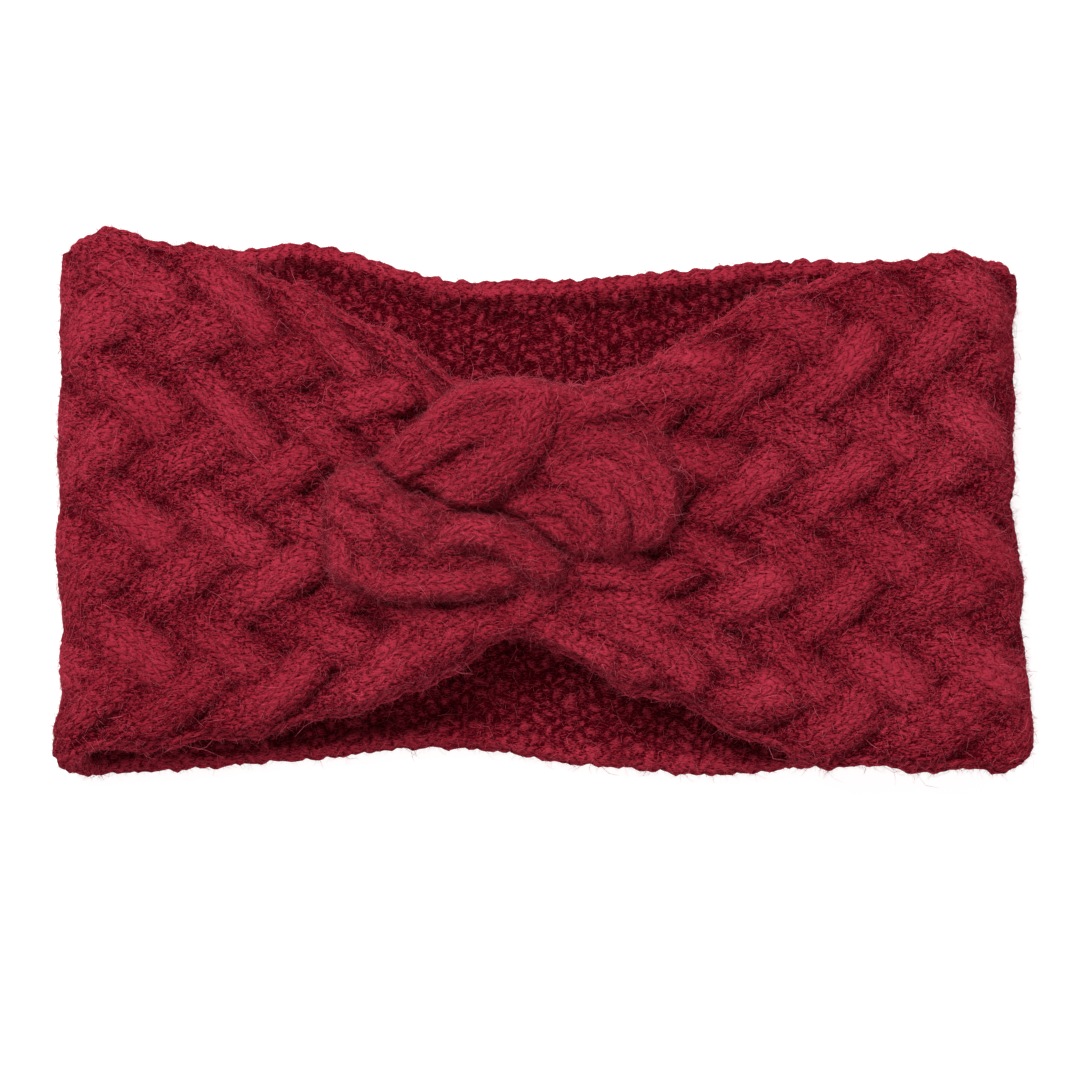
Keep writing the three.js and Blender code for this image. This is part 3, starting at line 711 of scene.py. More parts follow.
@dataclass
class KnitBand:
    """The strip: its cabled outside, its rolled rims and its purl inside. Lengths are millimetres."""

    ring: Ring = field(default_factory=Ring)
    plait: Plait = field(default_factory=Plait)
    yarn: Yarn = field(default_factory=Yarn)
    pattern: int = 3
    spread: float = 60.0
    full_row: float = 13.0
    leanest: float = 0.55
    side_loss: float = 0.62
    valley: float = 1.4
    most_raised: float = 12.0
    rim_from: float = 0.92
    groove_from: float = 0.8
    groove_to: float = 0.88
    curl_from: float = 0.86
    wander: Lumps = Lumps(0.1, 60, 0)
    sway: Lumps = Lumps(0.08, 45, 20)
    swell: Lumps = Lumps(0.4, 26, 40)
    rim_swell: Lumps = Lumps(0.3, 22, 0)
    rim_shift: Lumps = Lumps(0.8, 12, 1)
    rim_lumps: Lumps = Lumps(0.45, 5.5, 2)
    rim_slant: float = 0.2
    rim_depth: float = 0.6
    # Painted shade on the rim: lighter overall, darker in its stitch pits.
    rim_shade: Line = Line(0.55, 0.5)
    purl_swell: Lumps = Lumps(0.7, 30, 0)
    purl_aside: Lumps = Lumps(0.4, 9, 1)
    purl_run: Lumps = Lumps(0.4, 7, 2)
    purl_lumps: Lumps = Lumps(0.45, 7, 3)
    groove_level: float = 0.8
    groove_lumps: Lumps = Lumps(0.5, 9, 4)
    # Painted shade on the purl side, darker in its pits; the patches below are random tone.
    purl_shade: Line = Line(0.12, 0.55)
    purl_patches: Lumps = Lumps(0.09, 13, 5)
    # Painted light on the purl side's rolled edges, by the rims.
    rolled: tuple[float, float] = (0.84, 0.95)
    rolled_shade: Line = Line(0.5, 0.5)

    def pieces(self) -> list[BandPiece]:
        """The stretches that the strip is modelled in."""
        middle = self.ring.run / 2
        fold = self.ring.arc
        right = self.ring.run + fold
        left = right + self.ring.run
        return [
            BandPiece("front_left", -fold, middle, 0.68, 1.6, 0.165, 3, True, 62000),
            BandPiece("front_right", middle, right, 0.68, 1.6, 0.165, 4, True, 62000),
            BandPiece("back_layer", right, left, 0.95, 0.95, 0.22, 5, False, 36000),
        ]

    def half_wall(self, stations: Stations, across: Array, depth: Array) -> Array:
        """Half the wall's thickness, with the swollen rim and the groove beside it."""
        edge = np.abs(across)
        swell = smooth_step(edge, self.rim_from, 1)
        groove = depth * smooth_step(edge, self.groove_from, self.groove_to) * (1 - swell)
        core = stations.core[:, None] / 2
        return core + (stations.rim[:, None] - core) * swell - groove

    def wall(self, stations: Stations, across: Array, out: Array) -> Array:
        """Points of the wall at shares across the strip and distances from its middle."""
        ring = self.ring
        top = (stations.top - stations.rim)[:, None]
        foot = (stations.foot + stations.rim)[:, None]
        curl = stations.curl[:, None] * smooth_step(np.abs(across), self.curl_from, 1)
        away = out + stations.arch[:, None] * (1 - across**2) - curl
        y = foot + (top - foot) * (across + 1) / 2
        return ring.place(stations, y, away)

    def outside(self, stations: Stations, cells: int, gathered: bool) -> Skin:
        """The cabled face, from the lower rim to the upper."""
        ring = self.ring
        seed = self.pattern
        across = np.linspace(-1, 1, cells)[None, :] + 0 * stations.x[:, None]
        width = (stations.top - stations.foot - 2 * stations.rim)[:, None]
        lower = -1 + 2 * ring.lower_plain / width
        in_rows = self.plait.rows * (1 - across) / (1 - lower)
        row_height = width * (1 - lower) / 2 / self.plait.rows
        pitches = stations.pitches[:, None] + 0 * across
        x, y = pitches * ring.pitch, across * self.spread
        at = pitches + self.wander.at(x, y, seed)
        in_rows = in_rows + self.sway.at(x, y, seed)
        rise, aside, run = self.plait.field(at, in_rows, ring.pitch, row_height)
        fullness = np.clip(row_height / self.full_row, self.leanest, 1.0) ** 0.5
        half = self.half_wall(stations, across, 0 * across)
        turned = 1 - self.side_loss * np.abs(stations.out_x)[:, None]
        out = half + self.swell.at(x, y, seed) + self.plait.rise * rise * fullness * turned
        if gathered:
            bare = self.wall(stations, across, out)
            over = Relief(bare[..., 2] - ring.seat, aside, run, rise**2)
            for plan in GATHERED_STRANDS:
                over.lay(plan, bare[..., 0], bare[..., 1], self.valley)
            raised = np.maximum(over.height - (bare[..., 2] - ring.seat), 0)
            out = out + np.minimum(raised, self.most_raised)
            rise = np.sqrt(over.body)
            aside, run = over.aside, over.run
        stitch = self.yarn.stitches(aside, run)
        out = out + self.yarn.knitted(stitch, x, y, seed + 50, seed + 52)
        # The ridge value, rise squared, is painted shade: darker in the plait's grooves.
        return Skin(self.wall(stations, across, out), stitch, rise**2, Face.KNIT)

    def inside(self, stations: Stations, cells: int, seed: int) -> Skin:
        """The purl face, from the upper rim to the lower."""
        ring = self.ring
        across = np.linspace(1, -1, cells)[None, :] + 0 * stations.x[:, None]
        width = (stations.top - stations.foot)[:, None]
        run = stations.pitches[:, None] * ring.pitch + 0 * across
        aside = across * width / 2
        stitch = self.yarn.stitches(aside, run)
        stitch[..., 0] += self.purl_aside.at(run, aside, seed)
        stitch[..., 1] += self.purl_run.at(run, aside, seed)
        bumps = self.yarn.purl(stitch[..., 0], stitch[..., 1])
        soft = self.purl_swell.at(run, aside, seed) + self.purl_lumps.at(run, aside, seed)
        groove = ring.rim_groove * (self.groove_level + self.groove_lumps.at(run, aside, seed))
        out = -self.half_wall(stations, across, groove) - soft
        out = out - self.yarn.purl_depth * (bumps - 0.5)
        rolled = smooth_step(across**2, *self.rolled)
        # Painted shade: darker in the purl's pits, lighter on the rolled edges by the rims; the patches are
        # random tone.
        shade = self.purl_shade.at(bumps) + self.purl_patches.at(run, aside, seed)
        shade = shade * (1 - rolled) + self.rolled_shade.at(bumps) * rolled
        return Skin(self.wall(stations, across, out), stitch, shade, Face.PURL)

    def rim(self, stations: Stations, side: int, cells: int, seed: int) -> Skin:
        """A rolled rim, from the outside round to the inside on the upper side, or back."""
        ring = self.ring
        angle = math.pi * (np.linspace(0, 1, cells + 2)[1:-1] - 0.5)[None, :]
        centre = stations.top - stations.rim if side > 0 else stations.foot + stations.rim
        run = stations.pitches[:, None] * ring.pitch + 0 * angle
        round_mm = stations.rim[:, None] * angle
        slanted = run + self.rim_slant * round_mm + self.rim_shift.at(run, round_mm, seed)
        stitch = np.stack([round_mm / self.yarn.wale + 0.5 + 0 * run, slanted / self.yarn.course], axis=-1)
        bumps = self.yarn.knit(stitch[..., 0], stitch[..., 1])
        uneven = self.rim_swell.at(run, round_mm, seed) + self.rim_lumps.at(run, round_mm, seed)
        radius = stations.rim[:, None] + self.rim_depth * (bumps - self.yarn.pit_level) + uneven
        y = centre[:, None] + side * radius * np.cos(angle)
        out = -side * radius * np.sin(angle) - stations.curl[:, None]
        # Painted shade: the rim lighter overall and darker in its stitch pits.
        return Skin(ring.place(stations, y, out), stitch, self.rim_shade.at(bumps), Face.KNIT)

    def build(self, piece: BandPiece) -> Object:
        """Makes one stretch as a closed mesh.

        Args:
            piece: Which stretch, and how fine.

        Returns:
            The new object.
        """
        ring = self.ring
        columns = int(round((piece.end - piece.start) / piece.cell)) + 1
        stations = ring.stations(np.linspace(piece.start, piece.end, columns))
        across_mm = ring.overall_height - 2 * ring.back_rim
        outer = int(across_mm / piece.cell)
        inner = int(across_mm / piece.inner_cell)
        round_cells = int(math.pi * ring.back_rim / piece.cell)
        skins = [
            self.outside(stations, outer, piece.gathered),
            self.rim(stations, 1, round_cells, self.pattern + 60),
            self.inside(stations, inner, self.pattern + 70),
            self.rim(stations, -1, round_cells, self.pattern + 80),
        ]
        return tube_mesh(piece.name, skins)


def tube_mesh(name: str, skins: list[Skin]) -> Object:
    """Joins skins side by side into one closed tube with its two ends capped.

    Args:
        name: The object's name.
        skins: The stretches of its round, in order.

    Returns:
        The new object, with the UV map and the attribute that the finishes read.
    """
    points, stitch, ridge = (
        np.concatenate([getattr(skin, part) for skin in skins], axis=1)
        for part in ("points", "stitch", "ridge")
    )
    faces = np.concatenate([np.full(skin.points.shape[1], skin.face.value) for skin in skins])
    rows, count = points.shape[:2]
    i = np.arange(rows - 1)[:, None]
    j = np.arange(count)[None, :]
    after = (j + 1) % count
    quads = np.stack(
        np.broadcast_arrays(i * count + j, (i + 1) * count + j, (i + 1) * count + after, i * count + after),
        axis=-1,
    ).reshape(-1, 4)
    kinds = np.broadcast_to(faces[None, :], (rows - 1, count)).reshape(-1)
    mesh = quad_mesh(name, points.reshape(-1, 3) * MM, quads)
    ends = [np.arange(count), (rows - 1) * count + np.arange(count)[::-1]]
    finish_mesh(mesh, quads, stitch.reshape(-1, 2), ridge.reshape(-1), kinds)
    close_ends(mesh, ends)
    return place_object(name, mesh)


def place_object(name: str, data: ID) -> Object:
    """Adds an object with its data to the scene."""
    made = bpy.data.objects.new(name, data)
    bpy.context.scene.collection.objects.link(made)
    return made


def quad_mesh(name: str, points: Array, quads: Array) -> Mesh:
    """Makes a mesh of four-sided faces.

    Args:
        name: The mesh's name.
        points: Its vertices, in metres.
        quads: Four vertex numbers for each face.

    Returns:
        The new mesh.
    """
    mesh = bpy.data.meshes.new(name)
    mesh.vertices.add(len(points))
    mesh.vertices.foreach_set("co", points.astype(np.float32).ravel())
    mesh.loops.add(quads.size)
    mesh.loops.foreach_set("vertex_index", quads.astype(np.int32).ravel())
    mesh.polygons.add(len(quads))
    mesh.polygons.foreach_set("loop_start", np.arange(0, quads.size, 4, dtype=np.int32))
    mesh.update(calc_edges=True)
    return mesh


def finish_mesh(
    mesh: Mesh, quads: Array, stitch: Array, ridge: Array, kinds: Array
) -> None:
    """Gives a mesh its stitch map, its ridge attribute of painted shade, its materials' places and smooth
    faces.
    """
    at_corners = stitch[quads]
    jump = np.abs(at_corners - at_corners[:, :1]).max(axis=(1, 2)) > OTHER_STRAND
    corner = np.where(jump[:, None, None], at_corners[:, :1], at_corners)
    layer = mesh.uv_layers.new(name="stitch")
    layer.data.foreach_set("uv", corner.astype(np.float32).ravel())
    attribute = mesh.attributes.new("ridge", "FLOAT", "POINT")
    attribute.data.foreach_set("value", ridge.astype(np.float32).ravel())
    mesh.polygons.foreach_set("material_index", kinds.astype(np.int32))
    mesh.polygons.foreach_set("use_smooth", np.ones(len(quads), dtype=bool))
    mesh.update()


def close_ends(mesh: Mesh, ends: list[Array]) -> None:
    """Closes the open ends of a tube, each with a fan from its middle."""
    work = bmesh.new()
    work.from_mesh(mesh)
    for loop in ends:
        work.verts.ensure_lookup_table()
        rim = [work.verts[int(i)] for i in loop]
        middle = work.verts.new(sum((v.co for v in rim), Vector()) / len(rim))
        for a, b in zip(rim, rim[1:] + rim[:1]):
            work.faces.new((middle, a, b))
    bmesh.ops.recalc_face_normals(work, faces=work.faces)
    work.to_mesh(mesh)
    work.free()
    mesh.update()


@dataclass
class Lobe:
    """One folded end of the strip in the knot: strands on a soft cushion."""

    name: str
    node: str
    rim: tuple[Place, ...]
    strands: tuple[Strand, ...]
    centre: Place
    rise: float
    side: int
    seed: int
    fibres: int = 14000
    knot_width: float = 88.0
    knot_height: float = 58.0
    knot_x: float = -8.0
    knot_y: float = 0.5
    gap: float = 0.3
    cell: float = 0.55
    edge: float = 3.4
    bed: float = 0.72
    blend: float = 2.2
    swell: float = 1.25
    yarn: Yarn = Yarn(wale=3.1)
    first_ring: float = 0.004
    under_rings: tuple[float, float, int] = (0.93, 0.05, 8)
    dome_power: int = 3
    # The bare cushion's share of a strand's round, which sets its painted shade.
    dome_body: float = 0.4
    thinnest: float = 0.4
    soft_swell: Lumps = Lumps(0.4, 18, 0)
    soft_lumps: Lumps = Lumps(0.45, 7, 1)
    # Painted shade: darker in the valleys between strands and towards the outline.
    body_shade: Line = Line(0.24, 0.92)
    edge_shade: Line = Line(0.45, 0.55)

    def outline(self) -> Array:
        """The closed outline seen from above, counter-clockwise, in millimetres."""
        scale = np.array([self.knot_width / 2, self.knot_height / 2])
        centre = np.array([self.knot_x, self.knot_y])
        crease = np.array(CREASE) * scale + centre + np.array([0, self.side * self.gap * 0.5])
        rim = np.array(self.rim) * scale + centre
        rim = np.concatenate([crease[-1:], rim, crease[:1]])
        crease_count = int(np.linalg.norm(np.diff(crease, axis=0), axis=1).sum() / self.cell)
        rim_count = int(np.linalg.norm(np.diff(rim, axis=0), axis=1).sum() / self.cell)
        line = np.concatenate([smooth_line(crease, crease_count)[:-1], smooth_line(rim, rim_count)[:-1]])
        return line if self.side > 0 else line[::-1]

    def build(self, seat: float) -> Object:
        """Makes the lobe as a closed mesh over its outline.

        Args:
            seat: Level of the gathered strip that it lies on, in millimetres.

        Returns:
            The new object.
        """
        outline = self.outline()
        half = np.array([self.knot_width / 2, self.knot_height / 2])
        centre = np.array([self.knot_x, self.knot_y]) + np.array(self.centre) * half
        radius = np.linalg.norm(outline - centre, axis=1)
        rings = int(radius.max() / self.cell)
        reach = np.linspace(self.first_ring, 1, rings)[:, None]
        xy = centre + (outline[None] - centre) * reach[..., None]
        x, y = xy[..., 0], xy[..., 1]
        dome = self.bed * self.rise * np.sqrt(np.clip(1 - reach**self.dome_power, 0, 1)) + 0 * x
        relief = Relief(dome, y.copy(), x.copy(), np.full(x.shape, self.dome_body))
        for plan in self.strands:
            relief.lay(plan, x, y, self.blend)
        relief.height *= self.swell
        stitch = self.yarn.stitches(relief.aside, relief.run)
        knitted = self.yarn.knitted(stitch, x, y, self.seed + 3, self.seed + 2)
        inset = (1 - reach) * radius[None, :]
        edge = np.sqrt(np.clip(1 - (1 - np.minimum(inset / self.edge, 1)) ** 2, 0, 1))
        soft = self.soft_swell.at(x, y, self.seed) + self.soft_lumps.at(x, y, self.seed)
        top = relief.height + soft + knitted
        base = seat + self.gap
        points = np.concatenate([xy, (base + np.maximum(top, self.thinnest) * edge)[..., None]], axis=-1)
        under_reach = np.linspace(*self.under_rings)[:, None]
        under_xy = centre + (outline[None] - centre) * under_reach[..., None]
        under = np.concatenate([under_xy, np.full(under_xy.shape[:2] + (1,), base)], axis=-1)
        uv = np.concatenate([stitch, np.zeros(under_xy.shape)])
        # Painted shade: darker where a strand's round falls away and near the outline, darkest on the hidden
        # underside.
        shade = self.body_shade.at(relief.body) * self.edge_shade.at(edge)
        shade = np.concatenate([shade, np.zeros(under_xy.shape[:2])])
        return tube_mesh(self.name, [Skin(np.concatenate([points, under]), uv, shade, Face.KNIT)])


@dataclass
class Fuzz:
    """Fibres that stand out of the yarn, as thin bent ribbons."""

    seed: int = 11
    width: float = 0.09
    length: float = 1.7
    lift: float = 0.6
    stray_share: float = 0.025
    stray_length: float = 4.6
    stray_lift: float = 1.5
    length_spread: float = 0.35
    lift_centre: float = -0.2
    lift_spread: float = 0.6
    highest: float = 3.0
    bend: float = 0.25
    root_depth: float = 0.3
    tip_width: float = 0.3
    lowest: float = 0.1
    lain_on_level: float = 3.0
    lain_on_share: float = 0.1

    def grow(self, name: str, source: Object, count: int, seed: int) -> Object:
        """Makes the fibres of one piece as a mesh of its own.

        Args:
            name: The new object's name.
            source: The piece that the fibres grow from.
            count: How many fibres.
            seed: Which pattern.

        Returns:
            The new object.
        """
        rng = np.random.default_rng(self.seed * 1000 + seed)
        mesh = source.data
        mesh.calc_loop_triangles()
        places = np.empty(len(mesh.vertices) * 3, dtype=np.float32)
        mesh.vertices.foreach_get("co", places)
        places = places.reshape(-1, 3) / MM
        triangles = np.empty(len(mesh.loop_triangles) * 3, dtype=np.int32)
        mesh.loop_triangles.foreach_get("vertices", triangles)
        corners = places[triangles.reshape(-1, 3)]
        normal = np.cross(corners[:, 1] - corners[:, 0], corners[:, 2] - corners[:, 0])
        area = np.linalg.norm(normal, axis=1)
        normal = normal / np.maximum(area, 1e-9)[:, None]
        weight = area * self.wanted(corners.mean(axis=1), normal)
        pick = rng.choice(len(area), size=count, p=weight / weight.sum())
        share = rng.random((count, 2))
        flip = share.sum(axis=1) > 1
        share[flip] = 1 - share[flip]
        tri = corners[pick]
        root = tri[:, 0] + share[:, :1] * (tri[:, 1] - tri[:, 0]) + share[:, 1:] * (tri[:, 2] - tri[:, 0])
        out = normal[pick]
        loose = rng.normal(size=(count, 3))
        lie = loose - (loose * out).sum(axis=1)[:, None] * out
        lie = lie / np.linalg.norm(lie, axis=1)[:, None]
        stray = rng.random(count) < self.stray_share
        length = rng.lognormal(0, self.length_spread, count)
        length = np.where(stray, self.stray_length, self.length) * length
        lift = self.lift * rng.lognormal(self.lift_centre, self.lift_spread, count)
        lift = np.minimum(lift * np.where(stray, self.stray_lift, 1.0), self.highest)
        bend = np.cross(out, lie) * rng.normal(0, self.bend, count)[:, None]
        middle = root + lie * (length * 0.5)[:, None] + out * lift[:, None]
        tip = root + (lie + bend) * length[:, None] + out * (lift * rng.uniform(-0.4, 1.5, count))[:, None]
        root = root - out * self.root_depth
        side = np.cross(lie, rng.normal(size=(count, 3)))
        side = side / np.linalg.norm(side, axis=1)[:, None] * self.width / 2
        foot = [root - side, root + side]
        end = [tip + side * self.tip_width, tip - side * self.tip_width]
        short = np.stack(foot + end, axis=1)[~stray]
        long = np.stack(foot + [middle + side, middle - side] + end, axis=1)[stray]
        first = np.arange(len(short))[:, None] * 4
        after = np.arange(len(long))[:, None] * 6 + short.shape[0] * 4
        quads = np.concatenate([first + np.arange(4), after + np.arange(4), after + np.array([3, 2, 4, 5])])
        points = np.concatenate([short.reshape(-1, 3), long.reshape(-1, 3)])
        points[:, 2] = np.maximum(points[:, 2], self.lowest)
        made = quad_mesh(name, points * MM, quads)
        lightness = [np.repeat(rng.random(len(short)), 4), np.repeat(rng.random(len(long)), 6)]
        shade = made.attributes.new("shade", "FLOAT", "POINT")
        shade.data.foreach_set("value", np.concatenate(lightness).astype(np.float32))
        return place_object(name, made)

    def wanted(self, middle: Array, normal: Array) -> Array:
        """Share of the fibres that a face gets: few where the strip lies on the surface."""
        lain_on = (normal[:, 2] < -0.5) & (middle[:, 2] < self.lain_on_level)
        return np.where(lain_on, self.lain_on_share, 1.0)


class NodeSheet:
    """Writes a material's nodes in a few words."""

    def __init__(self, name: str) -> None:
        """Starts an empty material."""
        self.material = bpy.data.materials.new(name)
        self.material.use_nodes = True
        self.tree = self.material.node_tree
        self.tree.nodes.clear()

    def node(self, kind: str, **values: object) -> Node:
        """Adds a node and sets its own properties."""
        made = self.tree.nodes.new(kind)
        for name, value in values.items():
            setattr(made, name, value)
        return made

    def filled(self, kind: str, inputs: dict, **values: object) -> Node:
        """Adds a node and fills its inputs.

        Args:
            kind: The node's type.
            inputs: A socket or a value for each input, by its name or its number.
            values: The node's own properties.

        Returns:
            The new node.
        """
        made = self.node(kind, **values)
        for name, value in inputs.items():
            if isinstance(value, NodeSocket):
                self.tree.links.new(value, made.inputs[name])
            else:
                made.inputs[name].default_value = value
        return made

    def math(self, operation: str, *inputs: object) -> NodeSocket:
        """Adds a Math node on sockets or numbers and gives its result."""
        return self.filled("ShaderNodeMath", dict(enumerate(inputs)), operation=operation).outputs[0]

    def line(self, value: NodeSocket, relation: Line) -> NodeSocket:
        """Reads a straight relation at a value."""
        return self.math("MULTIPLY_ADD", value, relation.gain, relation.level)

    def limited(self, value: NodeSocket) -> NodeSocket:
        """Keeps a value between 0 and 1."""
        return self.math("MINIMUM", self.math("MAXIMUM", value, 0.0), 1.0)

    def mix(self, share: object, first: object, second: object) -> NodeSocket:
        """Mixes two colours, with share 0 for the first."""
        return self.filled("ShaderNodeMix", {0: share, 6: first, 7: second}, data_type="RGBA").outputs[2]

    def noise(self, scale: float, detail: float, vector: NodeSocket) -> NodeSocket:
        """Adds noise on a vector and gives its value."""
        inputs = {"Scale": scale, "Detail": detail, "Vector": vector}
        return self.filled("ShaderNodeTexNoise", inputs).outputs[0]

    def streaks(self, turn: float, scale: float, vector: NodeSocket) -> NodeSocket:
        """Adds noise drawn out in one direction, like fibres that lie together."""
        inputs = {"Rotation": (0.4, 0.3, math.radians(turn)), "Scale": (0.3, 1.0, 1.0), "Vector": vector}
        return self.noise(scale, 2, self.filled("ShaderNodeMapping", inputs).outputs[0])

    def surface(self, shader: Node) -> Material:
        """Makes a shader the material's surface and gives the material."""
        self.filled("ShaderNodeOutputMaterial", {0: shader.outputs[0]})
        return self.material


@dataclass(frozen=True)
class YarnFinish:
    """Fuzzy crimson yarn as it shows on the knitting, with painted shade in its pits and grooves and a
    painted highlight on raised yarn.
    """

    name: str
    face: Face
    yarn: Yarn = Yarn()
    # The colours run from painted shade in pits and grooves, with the darkest fibres, through the plain yarn
    # to a painted highlight on raised yarn, with lighter fibres.
    lit: Colour = (0.48, 0.039, 0.071, 1.0)
    plain: Colour = (0.17, 0.0022, 0.0085, 1.0)
    shade_and_dark_tone: Colour = (0.045, 0.0006, 0.003, 1.0)
    sheen: float = 0.12
    sheen_tint: Colour = (1.0, 0.10, 0.17, 1.0)
    warp_scale: float = 480.0
    warp: tuple[float, float, float] = (0.5, 0.8, 0.0)
    warp_middle: tuple[float, float, float] = (0.25, 0.4, 0.0)
    crease: Line = Line(0.65, 1.6)
    fibre_scale: float = 3300.0
    fibre_turns: tuple[float, ...] = (35, -50, 100)
    mottle_scale: float = 520.0
    cloud_scale: float = 35.0
    patch_scale: float = 130.0
    patch_light: Line = Line(0.05, 0.8)
    # Painted shade from the ridge value: darker in grooves and creases, lighter on ridges.
    painted_ridge_shade: Line = Line(-0.15, 0.58)
    mottle_light: Line = Line(-0.35, 0.7)
    fibre_light: Line = Line(-2.64, 4.4)
    cloud_light: Line = Line(0.15, 0.9)
    base_power: float = 0.8
    bump_shares: tuple[float, float, float] = (0.45, 0.55, 0.4)

    def stitch_height(self, sheet: NodeSheet, place: NodeSocket) -> NodeSocket:
        """Height of the stitches from the stitch map, from 0 in a pit to 1."""
        yarn = self.yarn
        uv = sheet.node("ShaderNodeUVMap", uv_map="stitch").outputs[0]
        noise = sheet.filled("ShaderNodeTexNoise", {"Scale": self.warp_scale, "Vector": place})
        moved = {0: noise.outputs[1], 1: self.warp, 2: uv}
        moved = sheet.filled("ShaderNodeVectorMath", moved, operation="MULTIPLY_ADD")
        centred = {0: moved.outputs[0], 1: self.warp_middle}
        centred = sheet.filled("ShaderNodeVectorMath", centred, operation="SUBTRACT")
        split = sheet.filled("ShaderNodeSeparateXYZ", {0: centred.outputs[0]})
        across, run = split.outputs[0], split.outputs[1]
        if self.face is Face.PURL:
            course = sheet.math("FLOOR", run)
            ridge = sheet.math("SINE", sheet.math("MULTIPLY", sheet.math("SUBTRACT", run, course), math.pi))
            shift = sheet.math("MULTIPLY", sheet.math("FLOORED_MODULO", course, 2.0), 0.5)
            turn = sheet.math("MULTIPLY", sheet.math("ADD", across, shift), math.tau)
            half = (1 - yarn.purl_floor) / 2
            bump = sheet.line(sheet.math("COSINE", turn), Line(yarn.purl_floor + half, half))
            return sheet.math("MULTIPLY", ridge, bump)
        aside = sheet.math("ABSOLUTE", sheet.math("SUBTRACT", sheet.math("FRACT", across), 0.5))
        aside = sheet.math("MULTIPLY", aside, 2.0)
        phase = sheet.math("FRACT", sheet.math("MULTIPLY_ADD", aside, yarn.slant, run))
        swing = sheet.math("ABSOLUTE", sheet.math("MULTIPLY_ADD", phase, 2.0, -1.0))
        leg = sheet.math("SUBTRACT", 1.0, sheet.math("POWER", swing, yarn.leg_power))
        column = sheet.math("SUBTRACT", 1.0, sheet.math("POWER", aside, yarn.column_power))
        middle = sheet.math("MINIMUM", sheet.line(aside, self.crease), 1.0)
        return sheet.math("MULTIPLY", sheet.math("MULTIPLY", leg, column), middle)

    def make(self) -> Material:
        """Builds the material."""
        sheet = NodeSheet(self.name)
        place = sheet.node("ShaderNodeTexCoord").outputs["Object"]
        height = self.stitch_height(sheet, place)
        ridge = sheet.node("ShaderNodeAttribute", attribute_name="ridge").outputs["Fac"]
        streaks = [sheet.streaks(turn, self.fibre_scale, place) for turn in self.fibre_turns]
        fibre = streaks[0]
        for more in streaks[1:]:
            fibre = sheet.math("MAXIMUM", fibre, more)
        mottle = sheet.noise(self.mottle_scale, 2, place)
        cloud = sheet.noise(self.cloud_scale, 2, place)
        patch = sheet.line(sheet.noise(self.patch_scale, 1, place), self.patch_light)
        # Painted shade: the colour darkens in the stitches' pits by their height and in grooves and creases
        # by the ridge value; the noises add the yarn's random tone.
        share = sheet.math("MULTIPLY", height, patch)
        lights = ((ridge, self.painted_ridge_shade), (mottle, self.mottle_light), (fibre, self.fibre_light))
        for value, relation in lights:
            share = sheet.math("ADD", share, sheet.line(value, relation))
        share = sheet.limited(share)
        base = sheet.mix(sheet.math("POWER", share, self.base_power), self.shade_and_dark_tone, self.plain)
        # Painted highlight: raised and lighter parts mix towards the lit colour.
        highlight_and_tone = sheet.limited(sheet.math("MULTIPLY", share, sheet.line(cloud, self.cloud_light)))
        shares = zip((height, fibre, mottle), self.bump_shares)
        parts = [sheet.math("MULTIPLY", value, part) for value, part in shares]
        relief = sheet.math("ADD", sheet.math("ADD", parts[0], parts[1]), parts[2])
        bump = sheet.filled("ShaderNodeBump", {"Strength": 0.8, "Distance": 0.9 * MM, "Height": relief})
        inputs = {
            "Base Color": sheet.mix(highlight_and_tone, base, self.lit),
            "Normal": bump.outputs[0],
            "Roughness": 0.9,
            "IOR": 1.0,
            "Sheen Weight": self.sheen,
            "Sheen Roughness": 0.45,
            "Sheen Tint": self.sheen_tint,
        }
        return sheet.surface(sheet.filled("ShaderNodeBsdfPrincipled", inputs))


@dataclass(frozen=True)
class FibreFinish:
    """The loose fibres, lighter than the yarn because light passes through them."""

    name: str = "loose_fibre"
    dark: Colour = (0.20, 0.003, 0.012, 1.0)
    light: Colour = (0.76, 0.13, 0.19, 1.0)
    through: float = 0.4

    def make(self) -> Material:
        """Builds the material."""
        sheet = NodeSheet(self.name)
        shade = sheet.node("ShaderNodeAttribute", attribute_name="shade").outputs["Fac"]
        colour = sheet.mix(shade, self.dark, self.light)
        front = sheet.filled("ShaderNodeBsdfDiffuse", {"Color": colour})
        through = sheet.filled("ShaderNodeBsdfTranslucent", {"Color": colour})
        both = {0: self.through, 1: front.outputs[0], 2: through.outputs[0]}
        return sheet.surface(sheet.filled("ShaderNodeMixShader", both))


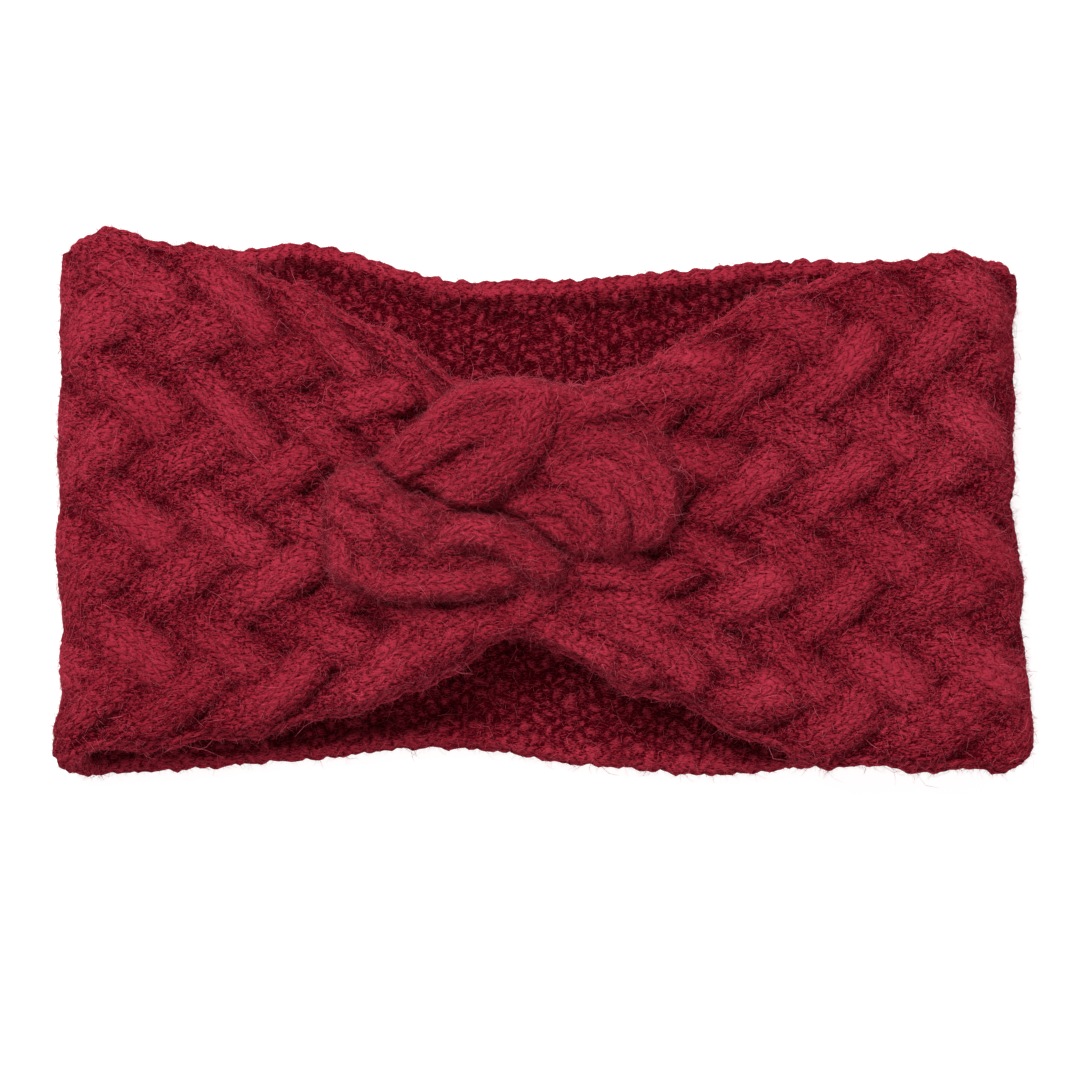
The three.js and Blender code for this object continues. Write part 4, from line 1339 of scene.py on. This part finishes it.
@dataclass(frozen=True)
class Studio:
    """Pale floor, soft light from above the object's upper rim, and the camera overhead."""

    pixels: float = 1080.0
    pixels_per_mm: float = 4.265
    centre_x: float = -0.5
    centre_y: float = -8.9
    focus_height: float = 18.0
    camera_height: float = 1100.0
    sensor_width: float = 36.0
    floor_size: float = 30.0
    floor_colour: Colour = (0.4, 0.4, 0.4, 1)
    floor_glow: float = 0.82
    white: Colour = (1, 1, 1, 1)
    world_strength: float = 0.35

    def floor(self) -> None:
        """Adds the floor."""
        bpy.ops.object.select_all(action="DESELECT")
        bpy.ops.mesh.primitive_plane_add(size=self.floor_size, location=(0, 0, 0))
        plane = bpy.context.object
        plane.name = "floor"
        sheet = NodeSheet("pale_floor")
        inputs = {
            "Base Color": self.floor_colour,
            "Emission Color": self.white,
            "Emission Strength": self.floor_glow,
            "Roughness": 0.85,
            "Specular IOR Level": 0.1,
        }
        shader = sheet.filled("ShaderNodeBsdfPrincipled", inputs)
        plane.data.materials.append(sheet.surface(shader))

    def light(self, name: str, place: tuple[float, float, float], size: float, power: float) -> None:
        """Adds a soft square light that points at the object.

        Args:
            name: The light's name.
            place: Where it stands, in metres.
            size: Length of its side, in metres.
            power: Its power, in watts.
        """
        lamp = bpy.data.lights.new(name, "AREA")
        lamp.shape = "SQUARE"
        lamp.size = size
        lamp.energy = power
        holder = place_object(name, lamp)
        holder.location = place
        holder.rotation_euler = (-Vector(place)).to_track_quat("-Z", "Y").to_euler()

    def lights(self) -> None:
        """Adds the lights and the even light round the object."""
        self.light("key_light", (-0.45, 0.75, 1.2), 0.6, 26.0)
        self.light("fill_light", (0.75, -0.75, 1.1), 1.4, 7.0)
        world = bpy.data.worlds.new("soft_world")
        world.use_nodes = True
        background = world.node_tree.nodes["Background"]
        background.inputs[0].default_value = self.white
        background.inputs[1].default_value = self.world_strength
        bpy.context.scene.world = world
        bpy.context.scene.view_settings.view_transform = "Standard"

    def camera(self) -> None:
        """Adds the camera, straight above, with the photograph's frame."""
        lens = bpy.data.cameras.new("camera")
        lens.sensor_fit = "HORIZONTAL"
        lens.sensor_width = self.sensor_width
        frame_width = self.pixels / self.pixels_per_mm
        lens.lens = lens.sensor_width * (self.camera_height - self.focus_height) / frame_width
        lens.clip_start = 0.01
        holder = place_object("camera", lens)
        holder.location = (self.centre_x * MM, self.centre_y * MM, self.camera_height * MM)
        bpy.context.scene.camera = holder


def declare(piece: Object, node: str) -> None:
    """Puts a piece on the frame's one body, in place of a CAD node, which it hides."""
    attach(piece, "root")
    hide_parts(node)


def build_band(finishes: list[Material], fibre: Material) -> Ring:
    """Makes the strip and its fibres.

    Args:
        finishes: The knit side's and the purl side's materials.
        fibre: The loose fibres' material.

    Returns:
        The ring's sizes, for what lies on it.
    """
    band = KnitBand()
    fuzz = Fuzz()
    for plan in band.pieces():
        piece = band.build(plan)
        for finish in finishes:
            piece.data.materials.append(finish)
        declare(piece, "band")
        hair = fuzz.grow(plan.name + "_fibres", piece, plan.fibres, plan.seed)
        hair.data.materials.append(fibre)
        declare(hair, "band")
        log.info("%s: %d faces", plan.name, len(piece.data.polygons))
    return band.ring


def build_knot(ring: Ring, finish: Material, fibre: Material) -> None:
    """Makes the two folded ends of the knot and their fibres.

    Args:
        ring: The ring that they lie on.
        finish: The knit side's material.
        fibre: The loose fibres' material.
    """
    lobes = [
        Lobe("right_end", "right_end_fold", UPPER_RIM, UPPER_STRANDS, Place(0.2, 0.35), 10.5, 1, 6),
        Lobe("left_end", "left_end_fold", LOWER_RIM, LOWER_STRANDS, Place(-0.42, -0.36), 9.0, -1, 7),
    ]
    fuzz = Fuzz()
    for lobe in lobes:
        piece = lobe.build(ring.seat)
        piece.data.materials.append(finish)
        declare(piece, lobe.node)
        hair = fuzz.grow(lobe.name + "_fibres", piece, lobe.fibres, lobe.seed)
        hair.data.materials.append(fibre)
        declare(hair, lobe.node)
        log.info("%s: %d faces", lobe.name, len(piece.data.polygons))


def main() -> None:
    """Builds the headband and the studio."""
    logging.basicConfig(level=logging.INFO)
    studio = Studio()
    studio.camera()
    knit = YarnFinish("knit_side", Face.KNIT).make()
    purl = YarnFinish("purl_side", Face.PURL).make()
    fibre = FibreFinish().make()
    ring = build_band([knit, purl], fibre)
    build_knot(ring, knit, fibre)
    studio.floor()
    studio.lights()


if __name__ == "__main__":
    main()
